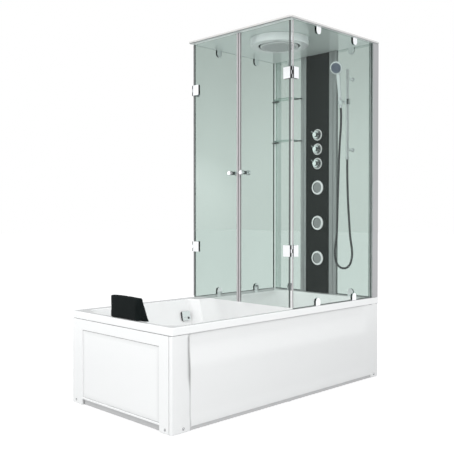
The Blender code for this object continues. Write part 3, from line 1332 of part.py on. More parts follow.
def build_rain():
    """The ring under the roof and the round rain head inside it."""
    top = CEILING - FIT
    foot = top - CANOPY_DEPTH
    profile = [
        (CANOPY_BORE, top), (CANOPY_RADIUS, top), (CANOPY_RADIUS, foot + CANOPY_EDGE),
        (CANOPY_RADIUS - CANOPY_EDGE / 3, foot + CANOPY_EDGE / 3), (CANOPY_RADIUS - CANOPY_EDGE, foot),
        (CANOPY_BORE + CANOPY_EDGE, foot), (CANOPY_BORE, foot + CANOPY_EDGE),
    ]
    mesh = profile_mesh("rain_canopy", [(r, z - foot) for r, z in profile], closed=True)
    turn(place("rain_canopy", mesh, ACRYLIC, (RAIN_X, RAIN_Y, foot)), LARGE_ROUND)
    low = foot - RAIN_DROP
    profile = [
        (0, top - low), (RAIN_STEM, top - low), (RAIN_STEM, RAIN_THICKNESS + RAIN_EDGE * 2),
        (RAIN_STEM * 2, RAIN_THICKNESS), (RAIN_RADIUS - RAIN_EDGE, RAIN_THICKNESS),
        (RAIN_RADIUS, RAIN_THICKNESS - RAIN_EDGE), (RAIN_RADIUS, RAIN_EDGE),
        (RAIN_RADIUS - RAIN_EDGE, 0), (0, 0),
    ]
    turn(place("rain_head", profile_mesh("rain_head", profile), NOZZLE, (RAIN_X, RAIN_Y, low)), LARGE_ROUND)


def build_shelves():
    """Two glass shelves with bowed fronts between the column's profile and the rear corner."""
    outline = [(SHELF_LENGTH, 0), (0, 0)]
    for n in range(13):
        along = n / 12
        bow = SHELF_BOW * (1 - (2 * along - 1) ** 2)
        outline.append((SHELF_LENGTH * along, -SHELF_END_DEPTH - bow))
    for name, drop in (("lower", LOWER_SHELF_DROP), ("upper", UPPER_SHELF_DROP)):
        mesh = plate_mesh(f"shelf_{name}", outline, SHELF_GLASS)
        at = (WALL_X - FIT, SHELF_Y, CEILING - drop)
        place(f"shelf_{name}", mesh, CLEAR_GLASS, at, (math.radians(180), 0, math.radians(90)))


def build_rail():
    """The riser rail with its two wall brackets and the nut at its foot, in one piece."""
    foot = RAIL_FOOT
    top = RAIL_TOP
    profile = [
        (0, top), (RAIL_RADIUS - KNOB_EDGE, top), (RAIL_RADIUS, top - KNOB_EDGE), (RAIL_RADIUS, foot),
        (OUTLET_NUT_RADIUS, foot - KNOB_EDGE), (OUTLET_NUT_RADIUS, foot - OUTLET_NUT_LENGTH),
        (0, foot - OUTLET_NUT_LENGTH),
    ]
    mesh = profile_mesh("riser_rail", [(r, z - foot) for r, z in profile])
    rail = turn(place("riser_rail", mesh, CHROME, (RAIL_X, RAIL_Y, foot)), SMALL_ROUND)
    heights = (RAIL_FOOT + LOWER_BRACKET_FROM_FOOT, RAIL_TOP - UPPER_BRACKET_FROM_TOP)
    for number, height in enumerate(heights):
        reach = WALL_X - FIT - RAIL_X
        arm = rod_mesh(f"rail_arm_{number}", BRACKET_RADIUS, reach, SMALL_ROUND)
        at = (RAIL_X + reach / 2, RAIL_Y, height)
        join(rail, helper(f"rail_arm_{number}", arm, at, OUT_OF_COLUMN))
        flange = rod_mesh(f"rail_flange_{number}", BRACKET_FLANGE, BRACKET_FLANGE_DEPTH, SMALL_ROUND)
        at = (WALL_X - FIT - BRACKET_FLANGE_DEPTH / 2, RAIL_Y, height)
        join(rail, helper(f"rail_flange_{number}", flange, at, OUT_OF_COLUMN))
        sleeve = rod_mesh(f"rail_sleeve_{number}", RAIL_RADIUS + KNOB_EDGE, BRACKET_FLANGE * 2, SMALL_ROUND)
        join(rail, helper(f"rail_sleeve_{number}", sleeve, (RAIL_X, RAIL_Y, height)))


def shower_frame():
    """World place and turn of the cradle's pivot: turned towards the room, then leaning out."""
    turn_angle = math.radians(SHOWER_TURN)
    lean = math.radians(-SHOWER_LEAN)
    height = CEILING - SLIDER_DROP
    beside = Matrix.Rotation(turn_angle, 3, "Z") @ Vector((0, CRADLE_REACH, 0))
    centre = Vector((RAIL_X, RAIL_Y, height)) + beside
    turned = Matrix.Rotation(turn_angle, 3, "Z") @ Matrix.Rotation(lean, 3, "Y")
    return centre, turned


def build_slider():
    """The slider on the rail, the cradle that tilts on its arm, and the hand shower in it."""
    centre, turned = shower_frame()
    turn_angle = math.radians(SHOWER_TURN)
    height = CEILING - SLIDER_DROP
    base = pivot("slider_axis", (RAIL_X, RAIL_Y, height), (0, 0, turn_angle))
    half = SLIDER_HEIGHT / 2
    profile = [
        (RAIL_RADIUS + SLIDER_PLAY, half), (SLIDER_RADIUS - KNOB_EDGE, half),
        (SLIDER_RADIUS, half - KNOB_EDGE), (SLIDER_RADIUS, KNOB_EDGE - half),
        (SLIDER_RADIUS - KNOB_EDGE, -half), (RAIL_RADIUS + SLIDER_PLAY, -half),
    ]
    slider = place("slider", profile_mesh("slider", profile, closed=True), CHROME, parent=base)
    turn(slider, MIDDLE_ROUND)
    inner = RAIL_RADIUS + SLIDER_PLAY + KNOB_EDGE
    neck_start = CRADLE_REACH - CRADLE_OUTER - CRADLE_NECK
    reach = neck_start - CRADLE_NECK_GAP - inner
    arm = rod_mesh("slider_arm", ARM_RADIUS, reach, SMALL_ROUND)
    at = (0, inner + reach / 2, 0)
    join(slider, helper("slider_arm", arm, at, FRONT_FACING, base))
    tilt = pivot("cradle_axis", (0, CRADLE_REACH, 0), (0, math.radians(-SHOWER_LEAN), 0), base)
    top = CRADLE_HEIGHT / 2
    profile = [
        (CONE_TOP + CONE_PLAY, top), (CRADLE_OUTER - KNOB_EDGE, top), (CRADLE_OUTER, top - KNOB_EDGE),
        (CRADLE_OUTER, KNOB_EDGE - top), (CRADLE_OUTER - KNOB_EDGE, -top),
        (CONE_BOTTOM + CONE_PLAY, -top),
    ]
    cradle = place("cradle", profile_mesh("cradle", profile, closed=True), CHROME, parent=tilt)
    turn(cradle, MIDDLE_ROUND)
    neck = rod_mesh("cradle_neck", ARM_RADIUS, CRADLE_NECK + KNOB_EDGE, SMALL_ROUND)
    at = (0, -CRADLE_OUTER - CRADLE_NECK / 2 + KNOB_EDGE / 2, 0)
    join(cradle, helper("cradle_neck", neck, at, FRONT_FACING, tilt))
    slot = box_mesh("cradle_slot", (CRADLE_OUTER + OVERRUN, CRADLE_SLOT, CRADLE_HEIGHT + OVERRUN))
    at = (-(CRADLE_OUTER + OVERRUN) / 2, 0, 0)
    cut(cradle, helper("cradle_slot", slot, at, parent=tilt))
    build_hand_shower(tilt)


def build_hand_shower(tilt):
    """The hand shower: a turned handle with a cone that sits in the cradle, and a round head."""
    top = CRADLE_HEIGHT / 2
    profile = [
        (0, HANDLE_LENGTH), (HANDLE_NECK * 0.8, HANDLE_LENGTH), (HANDLE_NECK, HANDLE_LENGTH - KNOB_EDGE * 2),
        (HANDLE_WAIST, HANDLE_LENGTH * 0.55), (HANDLE_WAIST, top * 2.2), (CONE_TOP, top * 1.1),
        (CONE_BOTTOM, -top), (HANDLE_FOOT_RADIUS, -top - KNOB_EDGE), (HANDLE_FOOT_RADIUS, -HANDLE_FOOT),
        (0, -HANDLE_FOOT),
    ]
    mesh = profile_mesh("hand_shower", profile)
    shower = turn(place("hand_shower", mesh, CHROME, parent=tilt), SMALL_ROUND)
    profile = [
        (0, HEAD_DEPTH), (HEAD_FACE, HEAD_DEPTH), (HEAD_RADIUS - KNOB_EDGE, HEAD_DEPTH - KNOB_EDGE),
        (HEAD_RADIUS, HEAD_DEPTH * 0.7), (HEAD_RADIUS * 0.93, HEAD_DEPTH * 0.42),
        (HEAD_RADIUS * 0.70, HEAD_DEPTH * 0.12), (HEAD_RADIUS * 0.35, 0), (0, 0),
    ]
    facing = math.radians(-90 - HEAD_TILT)
    at = (-HEAD_FORWARD + HEAD_DEPTH / 2, 0, HEAD_RISE)
    head = helper("shower_head", profile_mesh("shower_head", profile), at, (0, facing, 0), tilt)
    turn(head, MIDDLE_ROUND)
    join(shower, head)
    cross = rod_mesh("shower_bridge", HANDLE_NECK * 0.9, HEAD_RISE - HANDLE_LENGTH, 20)
    at = (0, 0, HANDLE_LENGTH + (HEAD_RISE - HANDLE_LENGTH) / 2 - KNOB_EDGE * 2)
    join(shower, helper("shower_bridge", cross, at, (0, 0, 0), tilt))


def smooth_route(points, first, last, count):
    """Evenly spaced points on a smooth curve through a route, with a direction at each end."""
    gaps = [(b - a).length for a, b in zip(points, points[1:])]
    slopes = [first]
    for n in range(1, len(points) - 1):
        before = (points[n] - points[n - 1]) / gaps[n - 1]
        after = (points[n + 1] - points[n]) / gaps[n]
        slopes.append((after * gaps[n - 1] + before * gaps[n]) / (gaps[n - 1] + gaps[n]))
    slopes.append(last)
    fine = []
    for n, gap in enumerate(gaps):
        for step in range(24):
            s = step / 24
            fine.append(points[n] * (1 + 2 * s) * (1 - s) ** 2 + slopes[n] * gap * s * (1 - s) ** 2
                        + points[n + 1] * s * s * (3 - 2 * s) + slopes[n + 1] * gap * s * s * (s - 1))
    fine.append(points[-1])
    lengths = [0.0]
    for a, b in zip(fine, fine[1:]):
        lengths.append(lengths[-1] + (b - a).length)
    spaced = []
    index = 0
    for n in range(count):
        target = lengths[-1] * n / (count - 1)
        while index < len(fine) - 2 and lengths[index + 1] < target:
            index += 1
        share = (target - lengths[index]) / (lengths[index + 1] - lengths[index])
        spaced.append(fine[index].lerp(fine[index + 1], share))
    return spaced, lengths[-1]


def hose_ends():
    """Where the hose starts at the handle and ends at the rail's foot, with both directions."""
    centre, turned = shower_frame()
    down = turned @ Vector((0, 0, -1))
    start = centre + down * (HANDLE_FOOT + FIT)
    end = Vector((RAIL_X, RAIL_Y, RAIL_FOOT - OUTLET_NUT_LENGTH - FIT))
    return start, down, end, Vector((0, 0, -1))


def build_hose():
    """The shower hose: a ribbed tube with a bore, hanging in a loop from the hand shower."""
    start, down, end, below = hose_ends()
    run = HOSE_RADIUS * 2
    route = [start + down * run]
    route += [Vector(point) for point in HOSE_ROUTE]
    route.append(end + below * run)
    count = HOSE_RIBS * 2
    middle, length = smooth_route(route, down, -below, count)
    points = [start] + middle + [end]
    print("hose length", round(length + run * 2, 4))
    radii = [1.0] + [1.0 if n % 2 == 0 else HOSE_VALLEY_SHARE for n in range(count)] + [1.0]
    hose = place("shower_hose", tube_mesh("shower_hose", points, HOSE_RADIUS, 2, radii), CHROME)
    plain, length = smooth_route(route, down, -below, HOSE_BORE_POINTS)
    points = [start - down * OVERRUN] + plain + [end - below * OVERRUN]
    bore = tube_mesh("hose_bore", points, HOSE_BORE, 1)
    cut(hose, helper("hose_bore", bore))


def main():
    """Builds every piece in turn."""
    start_empty()
    build_tub()
    build_frame()
    build_front_panel()
    build_end_panel()
    build_waste()
    build_overflow_cap()
    build_headrest()
    build_side_glass()
    build_end_glass()
    build_corner_profiles()
    build_column_profiles()
    build_column()
    build_valves()
    build_jets()
    build_doors()
    build_clamps()
    build_roof()
    build_rain()
    build_shelves()
    build_rail()
    build_slider()
    build_hose()


main()
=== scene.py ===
"""The finished look of a bath tub with a glass shower cabin over its far half.

Every piece is built where the fixed frame has it: metres, X along the bath from the headrest to the
column's end, the long front at -Y, the floor at Z = 0.
"""

import math

import bmesh
import bpy
import numpy as np
from bpy.props import FloatProperty, FloatVectorProperty, IntProperty, PointerProperty
from mathutils import Matrix, Vector


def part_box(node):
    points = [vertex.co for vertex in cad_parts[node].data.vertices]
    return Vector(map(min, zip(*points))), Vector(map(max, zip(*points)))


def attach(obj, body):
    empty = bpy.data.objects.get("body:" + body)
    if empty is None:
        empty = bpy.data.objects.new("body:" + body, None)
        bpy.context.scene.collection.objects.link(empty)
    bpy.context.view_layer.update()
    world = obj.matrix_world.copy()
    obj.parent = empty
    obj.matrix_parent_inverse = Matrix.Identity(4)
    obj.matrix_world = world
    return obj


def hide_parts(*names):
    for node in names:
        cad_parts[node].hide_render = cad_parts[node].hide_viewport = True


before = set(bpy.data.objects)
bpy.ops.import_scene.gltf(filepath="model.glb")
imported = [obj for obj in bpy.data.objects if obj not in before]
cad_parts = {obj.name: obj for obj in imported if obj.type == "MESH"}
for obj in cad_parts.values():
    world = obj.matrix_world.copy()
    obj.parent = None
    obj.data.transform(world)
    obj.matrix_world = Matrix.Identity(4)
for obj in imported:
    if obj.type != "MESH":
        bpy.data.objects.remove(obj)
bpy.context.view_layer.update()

bl_info = {
    "name": "Shower cabin finish",
    "version": (1, 0, 0),
    "blender": (4, 5, 0),
    "location": "3D View > Sidebar > Shower cabin",
    "description": "Builds the finished pieces of a bath tub with a glass shower cabin",
    "category": "Object",
}

HEAD_X, END_X = -0.850, 0.850
FRONT_Y, REAR_Y = -0.4175, 0.4175
RIM_TOP = 0.500
RIM_ROLL = 0.008
RIM_REAR = 0.057
SKIRT = 0.038
PANEL_SETBACK = 0.003
POST = 0.120
STILE = 0.082
BASIN_FLOOR = 0.100
BASIN_FILLET = 0.060
WALL_LEAN = 0.075
OVERFLOW_Z = 0.400
STEP_X = HEAD_X + 0.802
DRAIN = Vector((HEAD_X + 0.742, 0.060, BASIN_FLOOR))
DOOR_X = 0.022
GLASS = 0.006
FRONT_GLASS_Y, REAR_GLASS_Y = -0.3995, 0.409
WALL_X = 0.7876
COLUMN_FACE_X = 0.7826
COLUMN_Y = 0.016
CEILING = 2.0855
RAIN = Vector(((DOOR_X + WALL_X) / 2 - 0.1048, 0.00475 - 0.0698, CEILING - 0.0483))
RAIL = Vector((0.7276, -0.262, 0.0))
RAIL_FOOT, RAIL_TOP = 1.386, 1.936
SLIDER_Z = 1.732
CRADLE_REACH = 0.049
VALVE_Z = {"lower": 1.360, "middle": 1.4552, "upper": 1.5504}
JET_Z = {"lower": 0.730, "middle": 0.965, "upper": 1.200}
FIT = 0.0003
HOSE_RADIUS = 0.007
HANDLE_STUB = 0.034
HOSE_NUT = 0.018
RAIN_RADIUS = 0.1155
NOZZLE_SIDES = 8
ON_AXIS = 0.000001
WELD = 0.00002


def turn(degrees, axis):
    """A rotation about an axis."""
    return Matrix.Rotation(math.radians(degrees), 4, axis)


def shift(x, y, z):
    """A move along the three axes."""
    return Matrix.Translation((x, y, z))


TO_ROOM = turn(-90, "Y")
SLIDER_TURN = turn(12, "Z")


class CabinSizes(bpy.types.PropertyGroup):
    """Sizes of the finish that a user would change."""

    edge: FloatProperty(name="Metal edge", description="Radius broken on metal edges",
                        default=0.0006, min=0.0002, max=0.002, unit="LENGTH")
    arris: FloatProperty(name="Glass arris", description="Ground corner on the glass edges",
                         default=0.0006, min=0.0002, max=0.002, unit="LENGTH")
    hose_ribs: IntProperty(name="Hose ribs", description="Ribs along the shower hose",
                           default=98, min=60, max=400)
    rain_jets: IntProperty(name="Rain jets", description="Nozzles in the rain head's face",
                           default=280, min=60, max=900)
    round_sides: IntProperty(name="Round sides", description="Sides of the turned pieces",
                             default=56, min=24, max=128)
    pillow_cap: FloatProperty(name="Pillow swell",
                              description="How far the headrest's foam may swell",
                              default=0.0030, min=0.0, max=0.01, unit="LENGTH")


class CabinColours(bpy.types.PropertyGroup):
    """Colours of the finish that a user would change."""

    acrylic: FloatVectorProperty(name="Acrylic", description="Tub and panels", subtype="COLOR",
                                 default=(0.88, 0.885, 0.88), min=0.0, max=1.0)
    roof: FloatVectorProperty(name="Roof", description="Roof panel", subtype="COLOR",
                              default=(0.68, 0.672, 0.655), min=0.0, max=1.0)
    glass: FloatVectorProperty(name="Glass", description="Light let through by one glass face",
                               subtype="COLOR", default=(0.842, 0.878, 0.863), min=0.0, max=1.0)
    column: FloatVectorProperty(name="Column", description="Dark column glass", subtype="COLOR",
                                default=(0.0095, 0.0125, 0.0115), min=0.0, max=1.0)
    chrome: FloatVectorProperty(name="Chrome", description="Plated fittings", subtype="COLOR",
                                default=(0.90, 0.91, 0.92), min=0.0, max=1.0)
    aluminium: FloatVectorProperty(name="Aluminium", description="Anodised profiles",
                                   subtype="COLOR", default=(0.40, 0.40, 0.405), min=0.0, max=1.0)
    cushion: FloatVectorProperty(name="Cushion", description="Headrest skin", subtype="COLOR",
                                 default=(0.0060, 0.0085, 0.0085), min=0.0, max=1.0)


class Wire:
    """A socket in a material, with arithmetic that adds Math nodes."""

    def __init__(self, owner, socket):
        self.owner = owner
        self.socket = socket

    def maths(self, operation, *values):
        """A Math node on values or sockets."""
        return self.owner.node("ShaderNodeMath", {"operation": operation}, dict(enumerate(values)))

    def __add__(self, other):
        return self.maths("ADD", self, other)

    def __sub__(self, other):
        return self.maths("SUBTRACT", self, other)

    def __rsub__(self, other):
        return self.maths("SUBTRACT", other, self)

    def __mul__(self, other):
        return self.maths("MULTIPLY", self, other)

    def __pow__(self, other):
        return self.maths("POWER", self, other)

    __radd__ = __add__
    __rmul__ = __mul__


class Finish:
    """The node tree of a material or world, and the one method that adds nodes to it."""

    def __init__(self, name, world=False):
        self.material = (bpy.data.worlds if world else bpy.data.materials).new(name)
        self.material.use_nodes = True
        self.tree = self.material.node_tree
        self.tree.nodes.clear()
        kind = "World" if world else "Material"
        self.end = self.tree.nodes.new(f"ShaderNodeOutput{kind}")

    def node(self, kind, settings=None, values=None, out=0):
        """Adds a node: its settings first, then the values or links of its sockets."""
        fresh = self.tree.nodes.new(kind)
        for key, value in (settings or {}).items():
            if key == "stops":
                ramp = fresh.color_ramp.elements
                while len(ramp) > 1:
                    ramp.remove(ramp[0])
                for number, (at, tone) in enumerate(value):
                    stop = ramp[0] if number == 0 else ramp.new(at)
                    stop.position = at
                    stop.color = (tone, tone, tone, 1.0)
            else:
                setattr(fresh, key, value)
        for key, value in (values or {}).items():
            socket = fresh.inputs[key]
            if isinstance(value, Wire):
                self.tree.links.new(value.socket, socket)
            elif hasattr(value, "__len__") and len(value) == 3 and len(socket.default_value) == 4:
                socket.default_value = (*value, 1.0)
            else:
                socket.default_value = value
        return Wire(self, fresh.outputs[out])

    def place(self, scale=(1, 1, 1), turned=(0, 0, 0)):
        """Object coordinates, stretched and turned."""
        here = self.node("ShaderNodeTexCoord", out="Object")
        values = {"Vector": here, "Scale": scale, "Rotation": turned}
        return self.node("ShaderNodeMapping", {}, values)

    def noise(self, where, scale, detail=2.0, roughness=0.5):
        """A cloudy pattern from 0 to 1."""
        values = {"Vector": where, "Scale": scale, "Detail": detail, "Roughness": roughness}
        return self.node("ShaderNodeTexNoise", {}, values)

    def ramp(self, value, stops):
        """A value turned into a tone through stops."""
        return self.node("ShaderNodeValToRGB", {"stops": stops}, {"Fac": value})

    def mix(self, share, first, second):
        """Two colours mixed by a share."""
        values = {0: share, 6: first, 7: second}
        return self.node("ShaderNodeMix", {"data_type": "RGBA"}, values, out=2)

    def step(self, value, low, high):
        """A soft step from 0 to 1 between two values."""
        values = {"Value": value, "From Min": low, "From Max": high}
        return self.node("ShaderNodeMapRange", {"interpolation_type": "SMOOTHSTEP"}, values)

    def vector(self, operation, *values):
        """The number that a Vector Math node makes of its vectors."""
        settings = {"operation": operation}
        return self.node("ShaderNodeVectorMath", settings, dict(enumerate(values)), out="Value")

    def towards(self, way, aim):
        """How far a direction points towards an aim."""
        return self.vector("DOT_PRODUCT", way, aim)

    def background(self, colour, strength):
        """A plain background."""
        return self.node("ShaderNodeBackground", {}, {"Color": colour, "Strength": strength})

    def rays(self):
        """Is a ray seen, let through or mirrored, and how many panes has it crossed."""
        seen = self.node("ShaderNodeLightPath", out="Is Camera Ray")
        others = ("Is Transmission Ray", "Is Glossy Ray", "Transparent Depth")
        return seen, *(Wire(self, seen.socket.node.outputs[name]) for name in others)

    def bump(self, height, strength, distance):
        """A normal bent by a height."""
        values = {"Height": height, "Strength": strength, "Distance": distance}
        return self.node("ShaderNodeBump", {}, values)

    def finish(self, shader):
        """A shader on the output."""
        self.tree.links.new(shader.socket, self.end.inputs["Surface"])
        return self.material

    def principled(self, values):
        """The main shader on the output."""
        return self.finish(self.node("ShaderNodeBsdfPrincipled", {}, values))


def shade(colour, factor):
    """A colour made darker or lighter."""
    return tuple(min(channel * factor, 1.0) for channel in colour)


def acrylic_look(name, colour, gloss):
    """Glossy white sanitary acrylic: soft waviness, faint clouding, wiped water marks, and painted
    shade where the fold attribute is set.
    """
    look = Finish(name)
    here = look.place()
    cloud = look.noise(here, 2.6, 3.0)
    wiped = look.noise(look.place((14, 3, 14), (0.3, 0.2, 0.5)), 3.0, 4.0, 0.6)
    specks = look.noise(here, 900.0, 1.0)
    tone = look.mix(cloud * 0.5 + specks * 0.12, shade(colour, 0.972), shade(colour, 1.012))
    # Painted shade: the fold attribute darkens the colour in the apron's crease and the end panel's
    # groove.
    fold = look.node("ShaderNodeAttribute", {"attribute_name": "fold"}, out="Fac")
    tone = look.mix(fold, tone, shade(colour, 0.28))
    peel = look.noise(here, 95.0, 2.0) * 0.7 + look.noise(here, 14.0, 1.0) * 0.6
    return look.principled({
        "Base Color": tone, "Roughness": gloss + wiped * 0.07, "Coat Weight": 0.35,
        "Coat Roughness": 0.04, "IOR": 1.49, "Normal": look.bump(peel, 0.05, 0.0008),
    })


def glass_look(name, tint):
    """Clear safety glass: a green tint on what shows through, reflections and faint dried drops."""
    look = Finish(name)
    facing = look.node("ShaderNodeLayerWeight", {}, {"Blend": 0.5}, out="Facing")
    here = look.place((1, 1, 0.35))
    drops = look.ramp(look.noise(here, 46.0, 4.0, 0.7), ((0.56, 0.0), (0.74, 1.0)))
    haze = look.noise(look.place((2.2, 2.2, 0.5)), 2.0, 3.0)
    mirror = 0.006 + 0.75 * facing ** 5.0 + drops * 0.003 + haze * 0.005
    clear = look.node("ShaderNodeBsdfTransparent", {}, {"Color": tint})
    gloss = look.node("ShaderNodeBsdfGlossy", {}, {"Color": (0.95, 1.0, 0.98), "Roughness": 0.02})
    return look.finish(look.node("ShaderNodeMixShader", {}, {0: mirror, 1: clear, 2: gloss}))


def glass_edge_look():
    """The ground and polished edge of the glass: deeper green, with a fine grinding grain."""
    look = Finish("glass_edge")
    grain = look.noise(look.place((300, 300, 20)), 3.0, 2.0)
    long = look.noise(look.place(), 9.0, 2.0)
    tone = look.mix(long * 0.6 + grain * 0.3, (0.20, 0.30, 0.26), (0.36, 0.47, 0.42))
    return look.principled({
        "Base Color": tone, "Roughness": 0.14 + grain * 0.12, "Coat Weight": 0.4,
        "Normal": look.bump(grain, 0.1, 0.0003),
    })


def column_look(colour):
    """Back-painted dark glass: deep gloss, faint wipe marks and a slow change of tone."""
    look = Finish("column_glass")
    cloud = look.noise(look.place((1, 3, 1)), 2.2, 2.0)
    smear = look.noise(look.place((1, 12, 2)), 3.0, 4.0, 0.6)
    tone = look.mix(cloud, shade(colour, 0.8), shade(colour, 1.25))
    return look.principled({
        "Base Color": tone, "Roughness": 0.03 + smear * 0.04, "Specular IOR Level": 0.07,
        "Normal": look.bump(cloud, 0.02, 0.001),
    })


def chrome_look(name, colour, rough=0.045):
    """Bright chrome plate: slightly soft, with fine polishing lines and dull water spots."""
    look = Finish(name)
    here = look.place()
    lines = look.noise(look.place((60, 60, 900)), 1.0, 3.0)
    spots = look.ramp(look.noise(here, 210.0, 3.0, 0.65), ((0.60, 0.0), (0.72, 1.0)))
    tone = look.mix(spots * 0.35 + lines * 0.2, colour, shade(colour, 0.88))
    return look.principled({
        "Base Color": tone, "Metallic": 1.0, "Roughness": rough + spots * 0.10 + lines * 0.03,
        "Normal": look.bump(lines, 0.02, 0.0002),
    })


def aluminium_look(name, colour, rough=0.30):
    """Satin anodised aluminium with drawn lines along its length."""
    look = Finish(name)
    drawn = look.noise(look.place((520, 520, 1.2)), 1.0, 3.0, 0.6)
    cloud = look.noise(look.place((8, 8, 1)), 1.4, 2.0)
    tone = look.mix(drawn * 0.7 + cloud * 0.3, shade(colour, 0.86), shade(colour, 1.14))
    return look.principled({
        "Base Color": tone, "Metallic": 0.92, "Roughness": rough + drawn * 0.14,
        "Normal": look.bump(drawn, 0.08, 0.0003),
    })


def moulded_look(name, colour, rough, grain=600.0, metal=0.0):
    """Moulded plastic or rubber with a fine spark-eroded grain."""
    look = Finish(name)
    here = look.place()
    fine = look.noise(here, grain, 2.0)
    cloud = look.noise(here, 12.0, 3.0)
    tone = look.mix(cloud * 0.6 + fine * 0.3, shade(colour, 0.88), shade(colour, 1.10))
    return look.principled({
        "Base Color": tone, "Roughness": rough + fine * 0.12, "Metallic": metal,
        "Normal": look.bump(fine, 0.15, 0.0003),
    })


def skin_look(colour):
    """The headrest's moulded foam skin: a leather-like pebble, creases and worn, shinier edges."""
    look = Finish("cushion_skin")
    here = look.place()
    values = {"Vector": here, "Scale": 420.0}
    pebble = look.node("ShaderNodeTexVoronoi", {"feature": "DISTANCE_TO_EDGE"}, values)
    cell = look.ramp(pebble, ((0.0, 0.0), (0.16, 1.0)))
    cloud = look.noise(here, 18.0, 4.0)
    worn = look.node("ShaderNodeNewGeometry", out="Pointiness")
    rub = look.ramp(worn, ((0.505, 0.0), (0.56, 1.0)))
    tone = look.mix(cloud * 0.5 + rub * 0.5, shade(colour, 0.75), shade(colour, 1.9))
    return look.principled({
        "Base Color": tone, "Roughness": 0.56 - rub * 0.14 - cell * 0.06,
        "Specular IOR Level": 0.05,
        "Normal": look.bump(cell * 0.8 + cloud * 0.5, 0.35, 0.0004),
    })


MOULDED = {
    "dark_profile_tone": ((0.055, 0.062, 0.060), 0.42),
    "grey_plastic": ((0.60, 0.60, 0.60), 0.38),
    "closing_strip": ((0.47, 0.450, 0.457), 0.30, 300.0),
    "pale_strip": ((0.80, 0.85, 0.83), 0.32, 300.0),
    "foot_seal": ((0.09, 0.105, 0.10), 0.35, 300.0),
    "painted_steel": ((0.56, 0.56, 0.56), 0.45, 240.0),
    "dark_rubber": ((0.020, 0.021, 0.022), 0.50),
    # ring_plate is near white and little metallic: painted reflection on the valves' and jets'
    # chrome rings.
    "ring_plate": ((0.97, 0.975, 0.98), 0.18, 900.0, 0.30),
    "bright_tube": ((0.74, 0.77, 0.77), 0.14, 900.0, 0.60),
    "pale_chrome": ((0.84, 0.87, 0.88), 0.12, 900.0, 0.50),
    "rain_plate": ((0.95, 0.98, 0.985), 0.33, 500.0, 0.10),
    "rain_nozzle": ((0.10, 0.115, 0.12), 0.50),
    "jet_plate": ((0.34, 0.35, 0.35), 0.35, 500.0, 0.2),
    "spray_face": ((0.10, 0.12, 0.17), 0.30, 500.0, 0.2),
    "spray_nozzle": ((0.38, 0.42, 0.50), 0.42),
}


def look(name):
    """The named material, built the first time it is asked for."""
    found = bpy.data.materials.get(name)
    if found:
        return found
    if name in MOULDED:
        return moulded_look(name, *MOULDED[name])
    colours = bpy.context.scene.cabin_colours
    makers = {
        "tub_acrylic": lambda: acrylic_look(name, tuple(colours.acrylic), 0.07),
        # Painted shade: the front panel's acrylic is the tub's colour darkened, for its recessed
        # field.
        "shaded_panel_acrylic": lambda: acrylic_look(name, shade(tuple(colours.acrylic), 0.935), 0.11),
        # Painted light: the roof's underside is paler than its top, for the ceiling in the cabin's
        # shade.
        "lit_ceiling_acrylic": lambda: acrylic_look(name, (0.88, 0.955, 0.925), 0.20),
        "roof_acrylic": lambda: acrylic_look(name, tuple(colours.roof), 0.16),
        "canopy_acrylic": lambda: acrylic_look(name, (0.97, 0.99, 1.0), 0.12),
        "tinted_pane": lambda: glass_look(name, tuple(colours.glass)),
        "glass_edge": glass_edge_look,
        "column_glass": lambda: column_look(tuple(colours.column)),
        "chrome_plate": lambda: chrome_look(name, tuple(colours.chrome)),
        "aluminium_profile": lambda: aluminium_look(name, tuple(colours.aluminium)),
        "pale_profile": lambda: aluminium_look(name, shade(tuple(colours.aluminium), 1.25), 0.34),
        "hose_rib": lambda: chrome_look(name, (0.42, 0.43, 0.44), 0.10),
        "cushion_skin": lambda: skin_look(tuple(colours.cushion)),
    }
    return makers[name]()


def rounded_corners(points, radius, steps=3):
    """A half outline with its corners rounded; its two ends stay."""
    points = [Vector((r, h)) for r, h in points]
    out = [points[0]]
    for before, here, after in zip(points, points[1:], points[2:]):
        into, away = before - here, after - here
        if into.length < 1e-7 or away.length < 1e-7 or into.angle(-away) < 0.15:
            out.append(here)
            continue
        cut = min(radius, into.length * 0.45, away.length * 0.45)
        start = here + into.normalized() * cut
        end = here + away.normalized() * cut
        for n in range(steps + 1):
            s = n / steps
            out.append(start * (1 - s) ** 2 + here * 2 * s * (1 - s) + end * s * s)
    out.append(points[-1])
    return [(p.x, p.y) for p in out]


def as_mesh(name, shell):
    """A shell as mesh data."""
    mesh = bpy.data.meshes.new(name)
    shell.to_mesh(mesh)
    shell.free()
    return mesh


def as_object(name, data):
    """A mesh, lamp or camera as an object of the scene."""
    piece = bpy.data.objects.new(name, data)
    bpy.context.scene.collection.objects.link(piece)
    return piece


def new_piece(name, shell, matrix=None):
    """An object from a shell, with its faces outward and its place in its mesh."""
    bmesh.ops.recalc_face_normals(shell, faces=shell.faces)
    mesh = as_mesh(name, shell)
    if matrix is not None:
        mesh.transform(matrix)
    return as_object(name, mesh)


def turned(name, outline, matrix=None, sides=None, ring=False, corner=0.0006):
    """A turned piece from its half outline of (radius, height)."""
    sides = sides or bpy.context.scene.cabin_sizes.round_sides
    if corner:
        outline = rounded_corners(outline, corner)
    shell = bmesh.new()
    angles = [2 * math.pi * n / sides for n in range(sides)]
    rows = []
    for radius, height in outline:
        spots = [(radius * math.cos(a), radius * math.sin(a), height) for a in angles]
        if radius < ON_AXIS:
            spots = [(0, 0, height)]
        rows.append([shell.verts.new(spot) for spot in spots])
    pairs = list(zip(rows, rows[1:]))
    if ring:
        pairs.append((rows[-1], rows[0]))
    for upper, lower in pairs:
        for n in range(sides):
            beside = (n + 1) % sides
            if len(upper) == 1 and len(lower) == 1:
                break
            if len(upper) == 1:
                shell.faces.new((upper[0], lower[n], lower[beside]))
            elif len(lower) == 1:
                shell.faces.new((upper[n], lower[0], upper[beside]))
            else:
                shell.faces.new((upper[n], lower[n], lower[beside], upper[beside]))
    return new_piece(name, shell, matrix)


